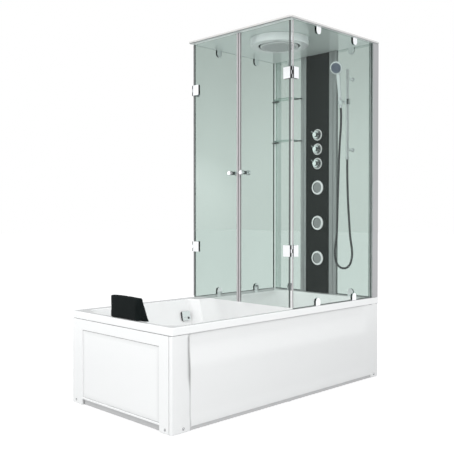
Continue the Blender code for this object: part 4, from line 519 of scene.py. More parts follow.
def block(name, low, high):
    """A block between two corners."""
    low, high = Vector(low), Vector(high)
    shell = bmesh.new()
    bmesh.ops.create_cube(shell, size=1.0)
    for vertex in shell.verts:
        share = vertex.co + Vector((0.5, 0.5, 0.5))
        vertex.co = Vector(a + (b - a) * s for a, b, s in zip(low, high, share))
    return new_piece(name, shell)


def tube(name, points, radii, sides, matrix):
    """A tube along points, with a radius for each."""
    shell = bmesh.new()
    points = [Vector(p) for p in points]
    rows, side = [], None
    for n, point in enumerate(points):
        ahead = (points[min(n + 1, len(points) - 1)] - points[max(n - 1, 0)]).normalized()
        if side is None:
            side = ahead.orthogonal().normalized()
        side = (side - ahead * side.dot(ahead)).normalized()
        up = ahead.cross(side)
        row = []
        for k in range(sides):
            a = 2 * math.pi * k / sides
            spot = side * math.cos(a) + up * math.sin(a)
            row.append(shell.verts.new(point + spot * radii[n]))
        rows.append(row)
    for lower, upper in zip(rows, rows[1:]):
        for k in range(sides):
            beside = (k + 1) % sides
            shell.faces.new((lower[k], lower[beside], upper[beside], upper[k]))
    shell.faces.new(rows[0])
    shell.faces.new(rows[-1])
    return new_piece(name, shell, matrix)


def from_frame(node, name=None):
    """A copy of a frame node's shape, merged, with its flat faces joined."""
    name = name or f"{node}_finish"
    shell = bmesh.new()
    shell.from_mesh(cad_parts[node].data)
    bmesh.ops.remove_doubles(shell, verts=shell.verts, dist=WELD)
    flat = math.radians(0.8)
    bmesh.ops.dissolve_limit(shell, angle_limit=flat, verts=shell.verts, edges=shell.edges)
    mesh = as_mesh(name, shell)
    mesh.materials.clear()
    return as_object(name, mesh)


def settle(piece):
    """Turns a piece with its modifiers into a plain mesh."""
    bpy.context.view_layer.update()
    graph = bpy.context.evaluated_depsgraph_get()
    mesh = bpy.data.meshes.new_from_object(
        piece.evaluated_get(graph), preserve_all_data_layers=True, depsgraph=graph)
    old = piece.data
    piece.modifiers.clear()
    piece.data = mesh
    mesh.name = piece.name
    if old.users == 0:
        bpy.data.meshes.remove(old)
    return piece


def soften(piece, width, segments=2, angle=38.0):
    """Breaks the sharp edges of a piece."""
    bevel = piece.modifiers.new("edge", "BEVEL")
    bevel.width = width
    bevel.segments = segments
    bevel.limit_method = "ANGLE"
    bevel.angle_limit = math.radians(angle)
    bevel.use_clamp_overlap = True
    return settle(piece)


def thicken(piece, thickness, even=False):
    """Gives a surface its thickness, on its inner side."""
    wall = piece.modifiers.new("wall", "SOLIDIFY")
    wall.thickness = thickness
    wall.offset = -1.0
    wall.use_even_offset = even
    return settle(piece)


def carve(piece, cutter):
    """Cuts one shape out of a piece."""
    change = piece.modifiers.new("cut", "BOOLEAN")
    change.operation = "DIFFERENCE"
    change.solver = "EXACT"
    change.object = cutter
    settle(piece)
    bpy.data.objects.remove(cutter)
    return piece


def split(piece, axis, *places):
    """Cuts new edges into a piece where planes across an axis meet it."""
    shell = bmesh.new()
    shell.from_mesh(piece.data)
    normal = Vector([float(n == axis) for n in range(3)])
    for place in places:
        every = list(shell.verts) + list(shell.edges) + list(shell.faces)
        bmesh.ops.bisect_plane(
            shell, geom=every, dist=1e-6, plane_co=normal * place, plane_no=normal)
    shell.to_mesh(piece.data)
    shell.free()
    return piece


def painted(piece, rules):
    """Gives each face the first material whose test on its centre and normal holds."""
    mesh = piece.data
    mesh.materials.clear()
    for material, _ in rules:
        mesh.materials.append(look(material))
    for face in mesh.polygons:
        face.material_index = next(number for number, (_, test) in enumerate(rules)
                                   if test(face.center, face.normal))
    return piece


def always(centre, normal):
    """A test that holds for every face."""
    return True


def joined(name, *pieces):
    """Several shapes as one mesh, each still a closed body of its own."""
    shell = bmesh.new()
    for piece in pieces:
        shell.from_mesh(piece.data)
    mesh = as_mesh(name, shell)
    for piece in pieces:
        bpy.data.objects.remove(piece)
    return as_object(name, mesh)


def hand_over(piece, material, body, nodes=(), sharp=40.0, weighted=True):
    """Shades a finished piece, gives it its material and lets it ride on a body of the frame."""
    if material:
        piece.data.materials.clear()
        piece.data.materials.append(look(material))
    piece.data.shade_smooth()
    piece.data.set_sharp_from_angle(angle=math.radians(sharp))
    if weighted:
        even = piece.modifiers.new("normals", "WEIGHTED_NORMAL")
        even.keep_sharp = True
        even.weight = 60
        settle(piece)
    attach(piece, body)
    if nodes:
        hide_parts(*nodes)
    return piece


class Growth:
    """A geometry tree with named inputs, and the one method that adds nodes to it."""

    def __init__(self, name, inputs):
        self.tree = bpy.data.node_groups.new(name, "GeometryNodeTree")
        face = self.tree.interface
        face.new_socket("Geometry", in_out="INPUT", socket_type="NodeSocketGeometry")
        for label, kind, value in inputs:
            socket = face.new_socket(label, in_out="INPUT", socket_type=f"NodeSocket{kind}")
            if value is not None:
                socket.default_value = value
        face.new_socket("Geometry", in_out="OUTPUT", socket_type="NodeSocketGeometry")
        self.given = self.tree.nodes.new("NodeGroupInput").outputs
        self.end = self.tree.nodes.new("NodeGroupOutput").inputs["Geometry"]

    def node(self, kind, settings=None, values=None):
        """Adds a node and gives its first output; a list links several wires to one input."""
        fresh = self.tree.nodes.new(kind)
        for key, value in (settings or {}).items():
            setattr(fresh, key, value)
        for key, value in (values or {}).items():
            for each in value if isinstance(value, list) else [value]:
                if isinstance(each, bpy.types.NodeSocket):
                    self.tree.links.new(each, fresh.inputs[key])
                else:
                    fresh.inputs[key].default_value = each
        return fresh.outputs[0]

    def dressed(self, geometry, material):
        """A shape with a material input on it."""
        values = {"Geometry": geometry, "Material": self.given[material]}
        return self.node("GeometryNodeSetMaterial", {}, values)

    def finish(self, geometry):
        """A shape on the output."""
        self.tree.links.new(geometry, self.end)
        return self.tree


def grown(piece, tree, values):
    """A piece with a geometry tree's named inputs set and its result kept as a plain mesh."""
    grow = piece.modifiers.new("growth", "NODES")
    grow.node_group = tree
    names = {item.name: item.identifier for item in tree.interface.items_tree
             if item.item_type == "SOCKET" and item.in_out == "INPUT"}
    for label, value in values.items():
        grow[names[label]] = value
    return settle(piece)


def stud_tree():
    """Studs on points: a tapered round stud on each point, standing along its facing."""
    name = "studs_on_points"
    found = bpy.data.node_groups.get(name)
    if found:
        return found
    tree = Growth(name, (
        ("Foot radius", "Float", 0.002), ("Top radius", "Float", 0.0015),
        ("Height", "Float", 0.002), ("Sides", "Int", 10), ("Material", "Material", None)))
    given = tree.given
    stud = tree.node("GeometryNodeMeshCone", {}, {
        "Radius Bottom": given["Foot radius"], "Radius Top": given["Top radius"],
        "Depth": given["Height"], "Vertices": given["Sides"]})
    facing = tree.node(
        "GeometryNodeInputNamedAttribute", {"data_type": "FLOAT_VECTOR"}, {"Name": "facing"})
    upright = tree.node("FunctionNodeAlignRotationToVector", {"axis": "Z"}, {"Vector": facing})
    spread = tree.node("GeometryNodeInstanceOnPoints", {}, {
        "Points": given["Geometry"], "Instance": stud, "Rotation": upright})
    real = tree.node("GeometryNodeRealizeInstances", {}, {"Geometry": spread})
    return tree.finish(tree.dressed(real, "Material"))


def studs(name, body, place, spots, sizes, material, way=1):
    """One mesh of small nozzles, standing on spots in a fitting's own frame and riding on it."""
    facing = place.to_3x3() @ Vector((0, 0, way))
    mesh = bpy.data.meshes.new(name)
    mesh.from_pydata([tuple(place @ Vector(spot)) for spot in spots], [], [])
    ways = mesh.attributes.new("facing", "FLOAT_VECTOR", "POINT")
    ways.data.foreach_set("vector", np.array([tuple(facing)] * len(spots), np.float32).ravel())
    foot, top, height = sizes
    nozzles = grown(as_object(name, mesh), stud_tree(), {
        "Foot radius": foot, "Top radius": top, "Height": height, "Sides": NOZZLE_SIDES,
        "Material": look(material)})
    hand_over(nozzles, None, body, (), 50.0, weighted=False)


def sunflower(count, radius):
    """Evenly spread places in a disc."""
    golden = math.pi * (3 - math.sqrt(5))
    places = []
    for n in range(count):
        reach = radius * math.sqrt((n + 0.5) / count)
        places.append((reach * math.cos(n * golden), reach * math.sin(n * golden)))
    return places


def ring_places(rings):
    """Places on rings: (radius, count) pairs."""
    places = []
    for number, (radius, count) in enumerate(rings):
        for n in range(count):
            a = 2 * math.pi * (n + 0.5 * (number % 2)) / count
            places.append((radius * math.cos(a), radius * math.sin(a)))
    return places


def smooth(share):
    """An S-shaped step from 0 to 1."""
    share = min(max(share, 0.0), 1.0)
    return share * share * (3 - 2 * share)


def quarter(x, y, radius, start, steps):
    """A quarter circle about a centre from a start angle in degrees."""
    angles = [math.radians(start + 90 * n / steps) for n in range(steps + 1)]
    return [(x + radius * math.cos(a), y + radius * math.sin(a)) for a in angles]


class CABIN_OT_stage(bpy.types.Operator):
    """Camera at the photograph's angle, soft lamps, plain floor and white surroundings"""

    bl_idname = "cabin.stage"
    bl_label = "Stage"

    LENS, SENSOR = 54.52, 36.0
    PHOTO_AT, PHOTO_TURN = (-2.8713, -2.8267, 1.0205), (88.96, 0.0, -44.62)
    LAMPS = (("key_lamp", (-2.7, -5.0, 2.9), 3.0, 150.0),
             ("side_lamp", (-5.0, 0.9, 2.2), 2.4, 70.0))
    LAMP_AIM = (0.1, 0.0, 0.8)
    LEFT_BOX, RIGHT_BOX = (-0.73, 0.68, 0), (0.56, -0.83, 0)
    STREAK, BEYOND = (-0.656, 0.755, 0), (0.70, 0.71, 0)

    def execute(self, context):
        scene = context.scene
        scene.view_settings.view_transform = "Standard"
        lens = bpy.data.cameras.new("photo_camera")
        lens.lens = self.LENS
        lens.sensor_width = self.SENSOR
        lens.clip_end = 100.0
        camera = as_object("photo_camera", lens)
        camera.location = self.PHOTO_AT
        camera.rotation_euler = [math.radians(angle) for angle in self.PHOTO_TURN]
        scene.camera = camera
        self.world(scene)
        self.floor()
        for name, at, size, power in self.LAMPS:
            lamp = bpy.data.lights.new(name, "AREA")
            lamp.energy = power
            lamp.size = size
            lamp.shape = "SQUARE"
            spot = as_object(name, lamp)
            spot.visible_glossy = False
            spot.location = at
            way = Vector(self.LAMP_AIM) - Vector(at)
            spot.rotation_euler = way.to_track_quat("-Z", "Y").to_euler()
        return {"FINISHED"}

    def world(self, scene):
        """White where it is seen, soft boxes and a dark room where it is mirrored, else pale."""
        studio = Finish("studio", world=True)
        scene.world = studio.material
        way = studio.node("ShaderNodeTexCoord", out="Generated")
        height = studio.node("ShaderNodeSeparateXYZ", {}, {0: way}, out="Z")
        left = studio.step(studio.towards(way, self.LEFT_BOX), 0.72, 0.93)
        right = studio.step(studio.towards(way, self.RIGHT_BOX), 0.72, 0.93)
        above = studio.step(height, 0.25, 0.60)
        band = 1 - studio.step(height.maths("ABSOLUTE", height - 0.07), 0.02, 0.17)
        streak = studio.step(studio.towards(way, self.STREAK), 0.9950, 0.9990)
        beyond = studio.step(studio.towards(way, self.BEYOND), 0.80, 0.96)
        room = 0.05 + left * (0.90 + 0.70 * band) + streak * band * 4.2
        room = room + right * 1.05 + above * 0.85 + beyond * 0.40
        path, through, mirrored, panes = studio.rays()
        plain = path.maths("MAXIMUM", path, through)
        lights = studio.background((0.97, 0.985, 1.0), 0.89)
        boxes = studio.background((0.98, 0.99, 1.0), room)
        dim = studio.step(panes, 0.2, 0.8) * studio.step(height, 0.05, 0.27) * 0.24
        white = studio.background((1, 1, 1), 1 - dim)
        kept = studio.node("ShaderNodeMixShader", {}, {0: mirrored, 1: lights, 2: boxes})
        studio.finish(studio.node("ShaderNodeMixShader", {}, {0: plain, 1: kept, 2: white}))

    def floor(self):
        """A wide pale floor that keeps the object's shadow."""
        shell = bmesh.new()
        bmesh.ops.create_grid(shell, x_segments=1, y_segments=1, size=30.0)
        floor = new_piece("pale_floor", shell)
        paint = Finish("pale_floor")
        cloud = paint.noise(paint.place(), 0.8, 2.0)
        tone = paint.mix(cloud, (0.48, 0.48, 0.48), (0.51, 0.51, 0.51))
        matt = paint.node("ShaderNodeBsdfDiffuse", {}, {"Color": tone})
        path, through, mirrored, _ = paint.rays()
        away = paint.vector("LENGTH", paint.place())
        far = mirrored * paint.step(away, 1.6, 4.5)
        seen = path.maths("MAXIMUM", path.maths("MAXIMUM", path, through), far)
        values = {"Color": (1, 1, 1), "Strength": seen * 0.66}
        glow = paint.node("ShaderNodeEmission", {}, values)
        paint.finish(paint.node("ShaderNodeAddShader", {}, {0: matt, 1: glow}))
        floor.data.materials.append(paint.material)
        if floor.data.polygons[0].normal.z < 0:
            floor.data.flip_normals()


def bent_route(points, first, last, count):
    """Evenly spaced points on a smooth curve through a route."""
    gaps = [(b - a).length for a, b in zip(points, points[1:])]
    slopes = [first]
    for n in range(1, len(points) - 1):
        before = (points[n] - points[n - 1]) / gaps[n - 1]
        after = (points[n + 1] - points[n]) / gaps[n]
        slopes.append((after * gaps[n - 1] + before * gaps[n]) / (gaps[n - 1] + gaps[n]))
    slopes.append(last)
    fine = []
    for n, gap in enumerate(gaps):
        for step in range(24):
            s = step / 24
            fine.append(
                points[n] * (1 + 2 * s) * (1 - s) ** 2 + slopes[n] * gap * s * (1 - s) ** 2
                + points[n + 1] * s * s * (3 - 2 * s) + slopes[n + 1] * gap * s * s * (s - 1))
    fine.append(points[-1])
    lengths = [0.0]
    for a, b in zip(fine, fine[1:]):
        lengths.append(lengths[-1] + (b - a).length)
    spaced, index = [], 0
    for n in range(count):
        target = lengths[-1] * n / (count - 1)
        while index < len(fine) - 2 and lengths[index + 1] < target:
            index += 1
        share = (target - lengths[index]) / (lengths[index + 1] - lengths[index])
        spaced.append(fine[index].lerp(fine[index + 1], share))
    return spaced


def shower_place():
    """The hand shower's own frame: on the cradle, turned to the room and leaning out."""
    base = shift(RAIL.x, RAIL.y, SLIDER_Z) @ SLIDER_TURN
    return base @ shift(0, CRADLE_REACH, 0) @ turn(-12, "Y")


class CABIN_OT_hose(bpy.types.Operator):
    """The ribbed shower hose on its real route, from the hand shower to the rail's foot"""

    bl_idname = "cabin.hose"
    bl_label = "Shower hose"

    ROUTE = (
        (0.7390, -0.2050, 1.6350), (0.7400, -0.1930, 1.4500), (0.7380, -0.1830, 1.1500),
        (0.7365, -0.1765, 0.9000), (0.7363, -0.1672, 0.7320), (0.7366, -0.1789, 0.7035),
        (0.7369, -0.2007, 0.6839), (0.7370, -0.2297, 0.6770), (0.7369, -0.2582, 0.6850),
        (0.7366, -0.2784, 0.7043), (0.7363, -0.2899, 0.7345), (0.7330, -0.2800, 0.9000),
        (0.7290, -0.2670, 1.1200),
    )

    CORE_RADIUS, RIB_SIDES, CORE_SIDES, PATH_POINTS = 0.0068, 20, 14, 240

    def execute(self, context):
        ribs, radius = context.scene.cabin_sizes.hose_ribs, HOSE_RADIUS
        here = shower_place()
        down = (here.to_3x3() @ Vector((0, 0, -1))).normalized()
        below = Vector((0, 0, -1))
        start = here.translation + down * (HANDLE_STUB + FIT)
        end = Vector((RAIL.x, RAIL.y, RAIL_FOOT - HOSE_NUT - FIT))
        route = [start + down * radius * 2, *(Vector(p) for p in self.ROUTE),
                 end + below * radius * 2]
        path = [start, *bent_route(route, down, -below, self.PATH_POINTS), end]
        mesh = bpy.data.meshes.new("shower_hose_line")
        mesh.from_pydata([tuple(p) for p in path], [(n, n + 1) for n in range(len(path) - 1)], [])
        hose = as_object("ribbed_hose", mesh)
        length = sum((b - a).length for a, b in zip(path, path[1:]))
        half = length / (ribs - 1) * 0.12
        flank = [(0.0055, half), (0.0064, half), (0.0069, half * 0.62)]
        rib = flank + [(radius, 0)] + [(r, -h) for r, h in reversed(flank)]
        grown(hose, self.tree(rib), {
            "Ribs": ribs, "Core radius": self.CORE_RADIUS,
            "Rib material": look("hose_rib"), "Core material": look("dark_rubber")})
        hose.data.shade_smooth()
        hose.data.set_sharp_from_angle(angle=math.radians(50))
        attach(hose, "cabin")
        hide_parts("shower_hose")
        return {"FINISHED"}

    def tree(self, rib):
        """Ribs along a line: a turned rib on each evenly spaced point round a dark core."""
        tree = Growth("ribs_along_line", (
            ("Ribs", "Int", 130), ("Core radius", "Float", 0.0055),
            ("Rib material", "Material", None), ("Core material", "Material", None)))
        given = tree.given
        parts = []
        for (low_radius, low), (high_radius, high) in zip(rib[:0:-1], rib[-2::-1]):
            ring = self.sleeve(tree, low_radius, high_radius, max(high - low, 0.00001))
            parts.append(self.lifted(tree, ring, low))
        (bore, top), (_, bottom) = rib[0], rib[-1]
        inside = self.sleeve(tree, bore, bore, top - bottom)
        inside = tree.node("GeometryNodeFlipFaces", {}, {"Mesh": inside})
        parts.append(self.lifted(tree, inside, bottom))
        shape = tree.node("GeometryNodeJoinGeometry", {}, {"Geometry": parts})
        welded = tree.node(
            "GeometryNodeMergeByDistance", {}, {"Geometry": shape, "Distance": WELD})
        line = tree.node("GeometryNodeMeshToCurve", {}, {"Mesh": given["Geometry"]})
        points = tree.node("GeometryNodeCurveToPoints", {"mode": "COUNT"}, {
            "Curve": line, "Count": given["Ribs"]})
        spread = tree.node("GeometryNodeInstanceOnPoints", {}, {
            "Points": points, "Rotation": points.node.outputs["Rotation"],
            "Instance": tree.dressed(welded, "Rib material")})
        profile = tree.node("GeometryNodeCurvePrimitiveCircle", {}, {
            "Resolution": self.CORE_SIDES, "Radius": given["Core radius"]})
        core = tree.node("GeometryNodeCurveToMesh", {}, {
            "Curve": line, "Profile Curve": profile, "Fill Caps": True})
        both = tree.node("GeometryNodeJoinGeometry", {}, {
            "Geometry": [spread, tree.dressed(core, "Core material")]})
        return tree.finish(tree.node("GeometryNodeRealizeInstances", {}, {"Geometry": both}))

    def sleeve(self, tree, low_radius, high_radius, depth):
        """An open cone."""
        return tree.node("GeometryNodeMeshCone", {"fill_type": "NONE"}, {
            "Vertices": self.RIB_SIDES, "Radius Bottom": low_radius, "Radius Top": high_radius,
            "Depth": depth})

    def lifted(self, tree, shape, height):
        """A shape moved up."""
        values = {"Geometry": shape, "Translation": (0, 0, height)}
        return tree.node("GeometryNodeTransform", {}, values)


class CABIN_OT_tub(bpy.types.Operator):
    """The acrylic tub: skirt, lip, rolled rim, sloping walls, backrest and floor in one shell"""

    bl_idname = "cabin.tub"
    bl_label = "Bath tub"

    CORNER, STEP, LIP, ROLL, WALL, FILLET = 12, 16, 5, 6, 14, 8
    BACK, FOOT = 0.220, 0.040
    BORDER, END_BORDER, LEDGE = 0.035, 0.118, 0.127
    STEP_RUN, OUTER_CORNER, INNER_CORNER, LIP_EDGE, SHEET = 0.044, 0.012, 0.085, 0.004, 0.005

    def ring(self, x, y, radius, z, ledge=None):
        """One ring between two walls on each axis; the rear one may step in to a ledge."""
        (left, right), (front, rear) = x, y
        ledge = rear if ledge is None else ledge
        points = quarter(left + radius, front + radius, radius, 180, self.CORNER)
        points += quarter(right - radius, front + radius, radius, 270, self.CORNER)
        points += quarter(right - radius, ledge - radius, radius, 0, self.CORNER)
        for n in range(self.STEP + 1):
            share = n / self.STEP
            points.append((STEP_X + self.STEP_RUN * (0.5 - share),
                           ledge + (rear - ledge) * smooth(share)))
        points += quarter(left + radius, rear - radius, radius, 90, self.CORNER)
        return [(x, y, z) for x, y in points]

    def outer(self, inset, z):
        """One ring round the tub's outside."""
        return self.ring((HEAD_X + inset, END_X - inset), (FRONT_Y + inset, REAR_Y - inset),
                         self.OUTER_CORNER - inset, z)

    def inner(self, inset, head, foot, z, radius):
        """One ring round the basin, with the step to the wider ledge behind the shower."""
        return self.ring((HEAD_X + self.BORDER + head, END_X - self.END_BORDER - foot),
                         (FRONT_Y + self.BORDER + inset, REAR_Y - RIM_REAR - inset),
                         radius, z, REAR_Y - self.LEDGE - inset)

    def rings(self):
        """All rings from the skirt's lower edge over the rim to the floor."""
        foot = RIM_TOP - SKIRT
        rolled = ((0.0024, 0), (0.0010, 0.0005), (0.0003, 0.0014), (0, 0.0030))
        rings = [self.outer(inset, foot + height) for inset, height in rolled]
        for n in range(self.LIP + 1):
            angle = math.radians(90 * n / self.LIP)
            rings.append(self.outer(self.LIP_EDGE * (1 - math.cos(angle)),
                                    RIM_TOP - self.LIP_EDGE * (1 - math.sin(angle))))
        for n in range(self.ROLL + 1):
            angle = math.radians(90 * n / self.ROLL)
            inset = -RIM_ROLL * (1 - math.sin(angle))
            height = RIM_TOP - RIM_ROLL * (1 - math.cos(angle))
            rings.append(self.inner(inset, inset, inset, height, self.INNER_CORNER - inset))
        top, bottom = RIM_TOP - RIM_ROLL, BASIN_FLOOR + BASIN_FILLET
        for n in range(1, self.WALL + 1):
            share = n / self.WALL
            inset = (WALL_LEAN * share, self.BACK * share ** 1.6, self.FOOT * share)
            rings.append(self.inner(*inset, top + (bottom - top) * share, self.INNER_CORNER))
        for n in range(1, self.FILLET + 1):
            angle = math.radians(90 * n / self.FILLET)
            inward = BASIN_FILLET * (1 - math.cos(angle))
            inset = [wall + inward for wall in (WALL_LEAN, self.BACK, self.FOOT)]
            height = BASIN_FLOOR + BASIN_FILLET * (1 - math.sin(angle))
            rings.append(self.inner(*inset, height, self.INNER_CORNER))
        return rings

    def execute(self, context):
        shell = bmesh.new()
        rows = [[shell.verts.new(point) for point in ring] for ring in self.rings()]
        count = len(rows[0])
        for upper, lower in zip(rows, rows[1:]):
            for n in range(count):
                beside = (n + 1) % count
                shell.faces.new((upper[n], upper[beside], lower[beside], lower[n]))
        shell.faces.new(rows[-1])
        tub = new_piece("bath_tub", shell)
        if tub.data.polygons[-1].normal.z < 0:
            tub.data.flip_normals()
        thicken(tub, self.SHEET, even=True)
        for name, radius, depth, place in (
                ("drain_hole", 0.028, 0.02, Matrix.Translation(DRAIN)),
                ("overflow_hole", 0.021, 0.03, overflow_place())):
            outline = [(0, 0.02), (radius, 0.02), (radius, -depth), (0, -depth)]
            carve(tub, turned(name, outline, place, 40, corner=0))
        hand_over(tub, "tub_acrylic", "cabin", ("tub_basin",), 55.0)
        return {"FINISHED"}


def overflow_place():
    """The overflow's own frame on the basin's leaning rear wall."""
    run = RIM_TOP - RIM_ROLL - BASIN_FLOOR - BASIN_FILLET
    share = (RIM_TOP - RIM_ROLL - OVERFLOW_Z) / run
    y = REAR_Y - RIM_REAR - WALL_LEAN * share
    lean = math.atan2(WALL_LEAN, run)
    upright = Matrix.Rotation(math.radians(90) - lean, 4, "X")
    return shift(DRAIN.x, y, OVERFLOW_Z) @ upright


class CABIN_OT_apron(bpy.types.Operator):
    """The front panel with its rounded post, crease, cove and belly"""

    bl_idname = "cabin.apron"
    bl_label = "Front panel"

    RADIUS, END_BACK, END_TURN, BULGE = 0.012, 0.0180, 0.0168, 0.002
    FALL, FOLD, RISE = 0.022, 0.007, 0.110
    ROUND_STEPS, FLAT_STEPS, FALL_STEPS, FOLD_STEPS, ROLL_STEPS = 8, 12, 16, 6, 5
    SHADOW_X, SHADOW_BEFORE, SHADOW_WIDER, SHADOW_AFTER = HEAD_X + 0.117, 0.006, 0.018, 0.009
    SHADOW_FOOT, SHADOW_TOP, SHADOW_TONE = (0.16, 0.12), (0.445, 0.015), 0.46
    ROWS, TOP_ROLL, TOP_GAP, SHEET, BAR_TOP = 56, 0.0020, 0.0018, 0.004, 0.0215

    def stations(self):
        """Plan points along the panel: place, way in, share of the field and of its crease."""
        left, right, radius = HEAD_X + FIT, END_X - FIT, self.RADIUS
        face, back = FRONT_Y + PANEL_SETBACK, FRONT_Y + PANEL_SETBACK + self.END_BACK
        post, stile, fall, fold = HEAD_X + POST, END_X - STILE, self.FALL, self.FOLD
        flat_end = stile - self.RISE
        points = [(left + 0.0012, back, 1, 0, 0, 0), (left, face + self.END_TURN, 1, 0, 0, 0)]
        for x, y in quarter(left + radius, face + radius, radius, 180, self.ROUND_STEPS):
            points.append((x, y, (left + radius - x) / radius, (face + radius - y) / radius, 0, 0))
        for n in range(1, self.FLAT_STEPS + 1):
            share = n / self.FLAT_STEPS
            x = left + radius + (post - fall - left - radius) * share
            points.append((x, face - self.BULGE * math.sin(math.pi * share), 0, 1, 0, 0))
        for n in range(1, self.FALL_STEPS + 1):
            x = post - fall + fall * n / self.FALL_STEPS
            sink = smooth(n / self.FALL_STEPS)
            points.append((x, face, 0, 1, sink, smooth((x - post + fold) / fold)))
        for n in range(1, self.FOLD_STEPS + 1):
            x = post + fold * n / self.FOLD_STEPS
            points.append((x, face, 0, 1, 1, 1 - smooth(n / self.FOLD_STEPS)))
        for n in range(1, self.FLAT_STEPS + 1):
            x = post + fold + (flat_end - post - fold) * n / self.FLAT_STEPS
            points.append((x, face, 0, 1, 1, 0))
        for n in range(1, self.FALL_STEPS + 1):
            x = flat_end + self.RISE * n / self.FALL_STEPS
            points.append((x, face, 0, 1, 1 - smooth(n / self.FALL_STEPS), 0))
        for x, y in quarter(right - radius, face + radius, radius, 270, self.ROUND_STEPS):
            points.append((x, y, (right - radius - x) / radius, (face + radius - y) / radius, 0, 0))
        points += [(right, face + self.END_TURN, -1, 0, 0, 0), (right - 0.0012, back, -1, 0, 0, 0)]
        return points

    def levels(self):
        """Heights up the panel with the depths of its field, crease and rolled top edge."""
        low, high, roll = 0.003, RIM_TOP - SKIRT - self.TOP_GAP, self.TOP_ROLL
        levels = []
        for n in range(self.ROWS + 1):
            share = n / self.ROWS
            above_bar = smooth((share - 0.07) / 0.12)
            field = 0.009 * smooth((share - 0.60) / 0.30) + 0.003 * (1 - share) ** 2 * above_bar
            crease = (0.0030 + 0.0020 * smooth((share - 0.35) / 0.4)) * above_bar
            levels.append((low + (high - roll - low) * share, field, crease, 0.0))
        for n in range(1, self.ROLL_STEPS + 1):
            angle = math.radians(90 * n / self.ROLL_STEPS)
            height = high - roll + roll * math.sin(angle)
            levels.append((height, field, crease, roll * (1 - math.cos(angle))))
        return levels

    def execute(self, context):
        stations = self.stations()
        shell = bmesh.new()
        shadow = shell.verts.layers.float.new("fold")
        (foot, rise), (top, fall) = self.SHADOW_FOOT, self.SHADOW_TOP
        grid = []
        for z, field, crease, roll in self.levels():
            row = []
            upper = smooth((z - foot) / rise) * (1 - smooth((z - top) / fall))
            before, after = self.SHADOW_BEFORE + self.SHADOW_WIDER * upper, self.SHADOW_AFTER
            for x, y, away, inward, sink, fold in stations:
                depth = roll + field * sink + crease * fold
                vertex = shell.verts.new((x + away * roll, y + inward * depth, z))
                past = x - self.SHADOW_X
                near = 1 - (past / after if past > 0 else -past / before)
                vertex[shadow] = smooth(near) * self.SHADOW_TONE * (1 + upper)
                row.append(vertex)
            grid.append(row)
        for lower, upper in zip(grid, grid[1:]):
            for n in range(len(stations) - 1):
                shell.faces.new((lower[n], lower[n + 1], upper[n + 1], upper[n]))
        panel = as_object("front_apron", as_mesh("front_apron", shell))
        thicken(panel, self.SHEET)
        carve(panel, block("front_gap", (HEAD_X + POST, FRONT_Y - 0.01, -0.01),
                           (END_X - STILE, FRONT_Y + 0.028, self.BAR_TOP)))
        hand_over(panel, "shaded_panel_acrylic", "cabin", ("front_panel",), 42.0)
        return {"FINISHED"}


class CABIN_OT_end_panel(bpy.types.Operator):
    """The head end's panel with its sunk field"""

    bl_idname = "cabin.end_panel"
    bl_label = "End panel"

    TOP, TOP_GAP = RIM_TOP - 0.0395, 0.0017
    FRONT, FRONT_GAP = FRONT_Y + 0.0220, 0.0016
    # Each inset round the sunk field: width, depth and the painted shade its new vertices get.
    GROOVE = ((0.0005, 0.0, 0.15), (0.0022, -0.0024, 0.75), (0.0022, 0.0024, 0.12),
              (0.0300, 0.0, 0.0))

    def execute(self, context):
        panel = from_frame("end_panel", "end_apron")
        for vertex in panel.data.vertices:
            if vertex.co.z > self.TOP:
                vertex.co.z -= self.TOP_GAP
            if vertex.co.y < self.FRONT:
                vertex.co.y += self.FRONT_GAP
        shell = bmesh.new()
        shell.from_mesh(panel.data)
        sunk = [face for face in shell.faces if face.normal.x < -0.95
                and face.calc_center_median().x > HEAD_X + 0.0010]
        field = max(sunk, key=lambda face: face.calc_area())
        shadow = shell.verts.layers.float.new("fold")
        for width, depth, fold in self.GROOVE:
            bmesh.ops.inset_region(shell, faces=[field], thickness=width, depth=depth)
            for vertex in field.verts:
                vertex[shadow] = fold
        shell.to_mesh(panel.data)
        shell.free()
        soften(panel, 0.0018, 3, 30.0)
        hand_over(panel, "tub_acrylic", "cabin", ("end_panel",), 42.0)
        return {"FINISHED"}


class CABIN_OT_headrest(bpy.types.Operator):
    """The foam headrest, swollen from its wedge by cloth pressure"""

    bl_idname = "cabin.headrest"
    bl_label = "Headrest"

    def execute(self, context):
        pillow = from_frame("headrest_pillow", "headrest_cushion")
        self.swell(context, pillow)
        hand_over(pillow, "cushion_skin", "cabin", ("headrest_pillow",), 60.0)
        return {"FINISHED"}

    def swell(self, context, pillow):
        """Fills the foam with a little pressure and caps how far each point may move."""
        remesh = pillow.modifiers.new("voxels", "REMESH")
        remesh.mode = "VOXEL"
        remesh.voxel_size = 0.005
        settle(pillow)
        start = np.array([v.co for v in pillow.data.vertices])
        cloth = pillow.modifiers.new("foam", "CLOTH")
        cloth.settings.use_pressure = True
        cloth.settings.uniform_pressure_force = 3.0
        cloth.settings.effector_weights.gravity = 0.0
        cloth.settings.tension_stiffness = 30.0
        for number in range(1, 13):
            context.scene.frame_set(number)
        settle(pillow)
        context.scene.frame_set(1)
        moved = np.array([v.co for v in pillow.data.vertices]) - start
        reach = np.linalg.norm(moved, axis=1, keepdims=True)
        cap = context.scene.cabin_sizes.pillow_cap
        moved *= np.minimum(1.0, cap / np.maximum(reach, 1e-9))
        low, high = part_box("headrest_pillow")
        final = np.clip(start + moved, np.array(low), np.array(high))
        pillow.data.vertices.foreach_set("co", final.astype(np.float32).ravel())
        finer = pillow.modifiers.new("finer", "SUBSURF")
        finer.levels = finer.render_levels = 1
        settle(pillow)


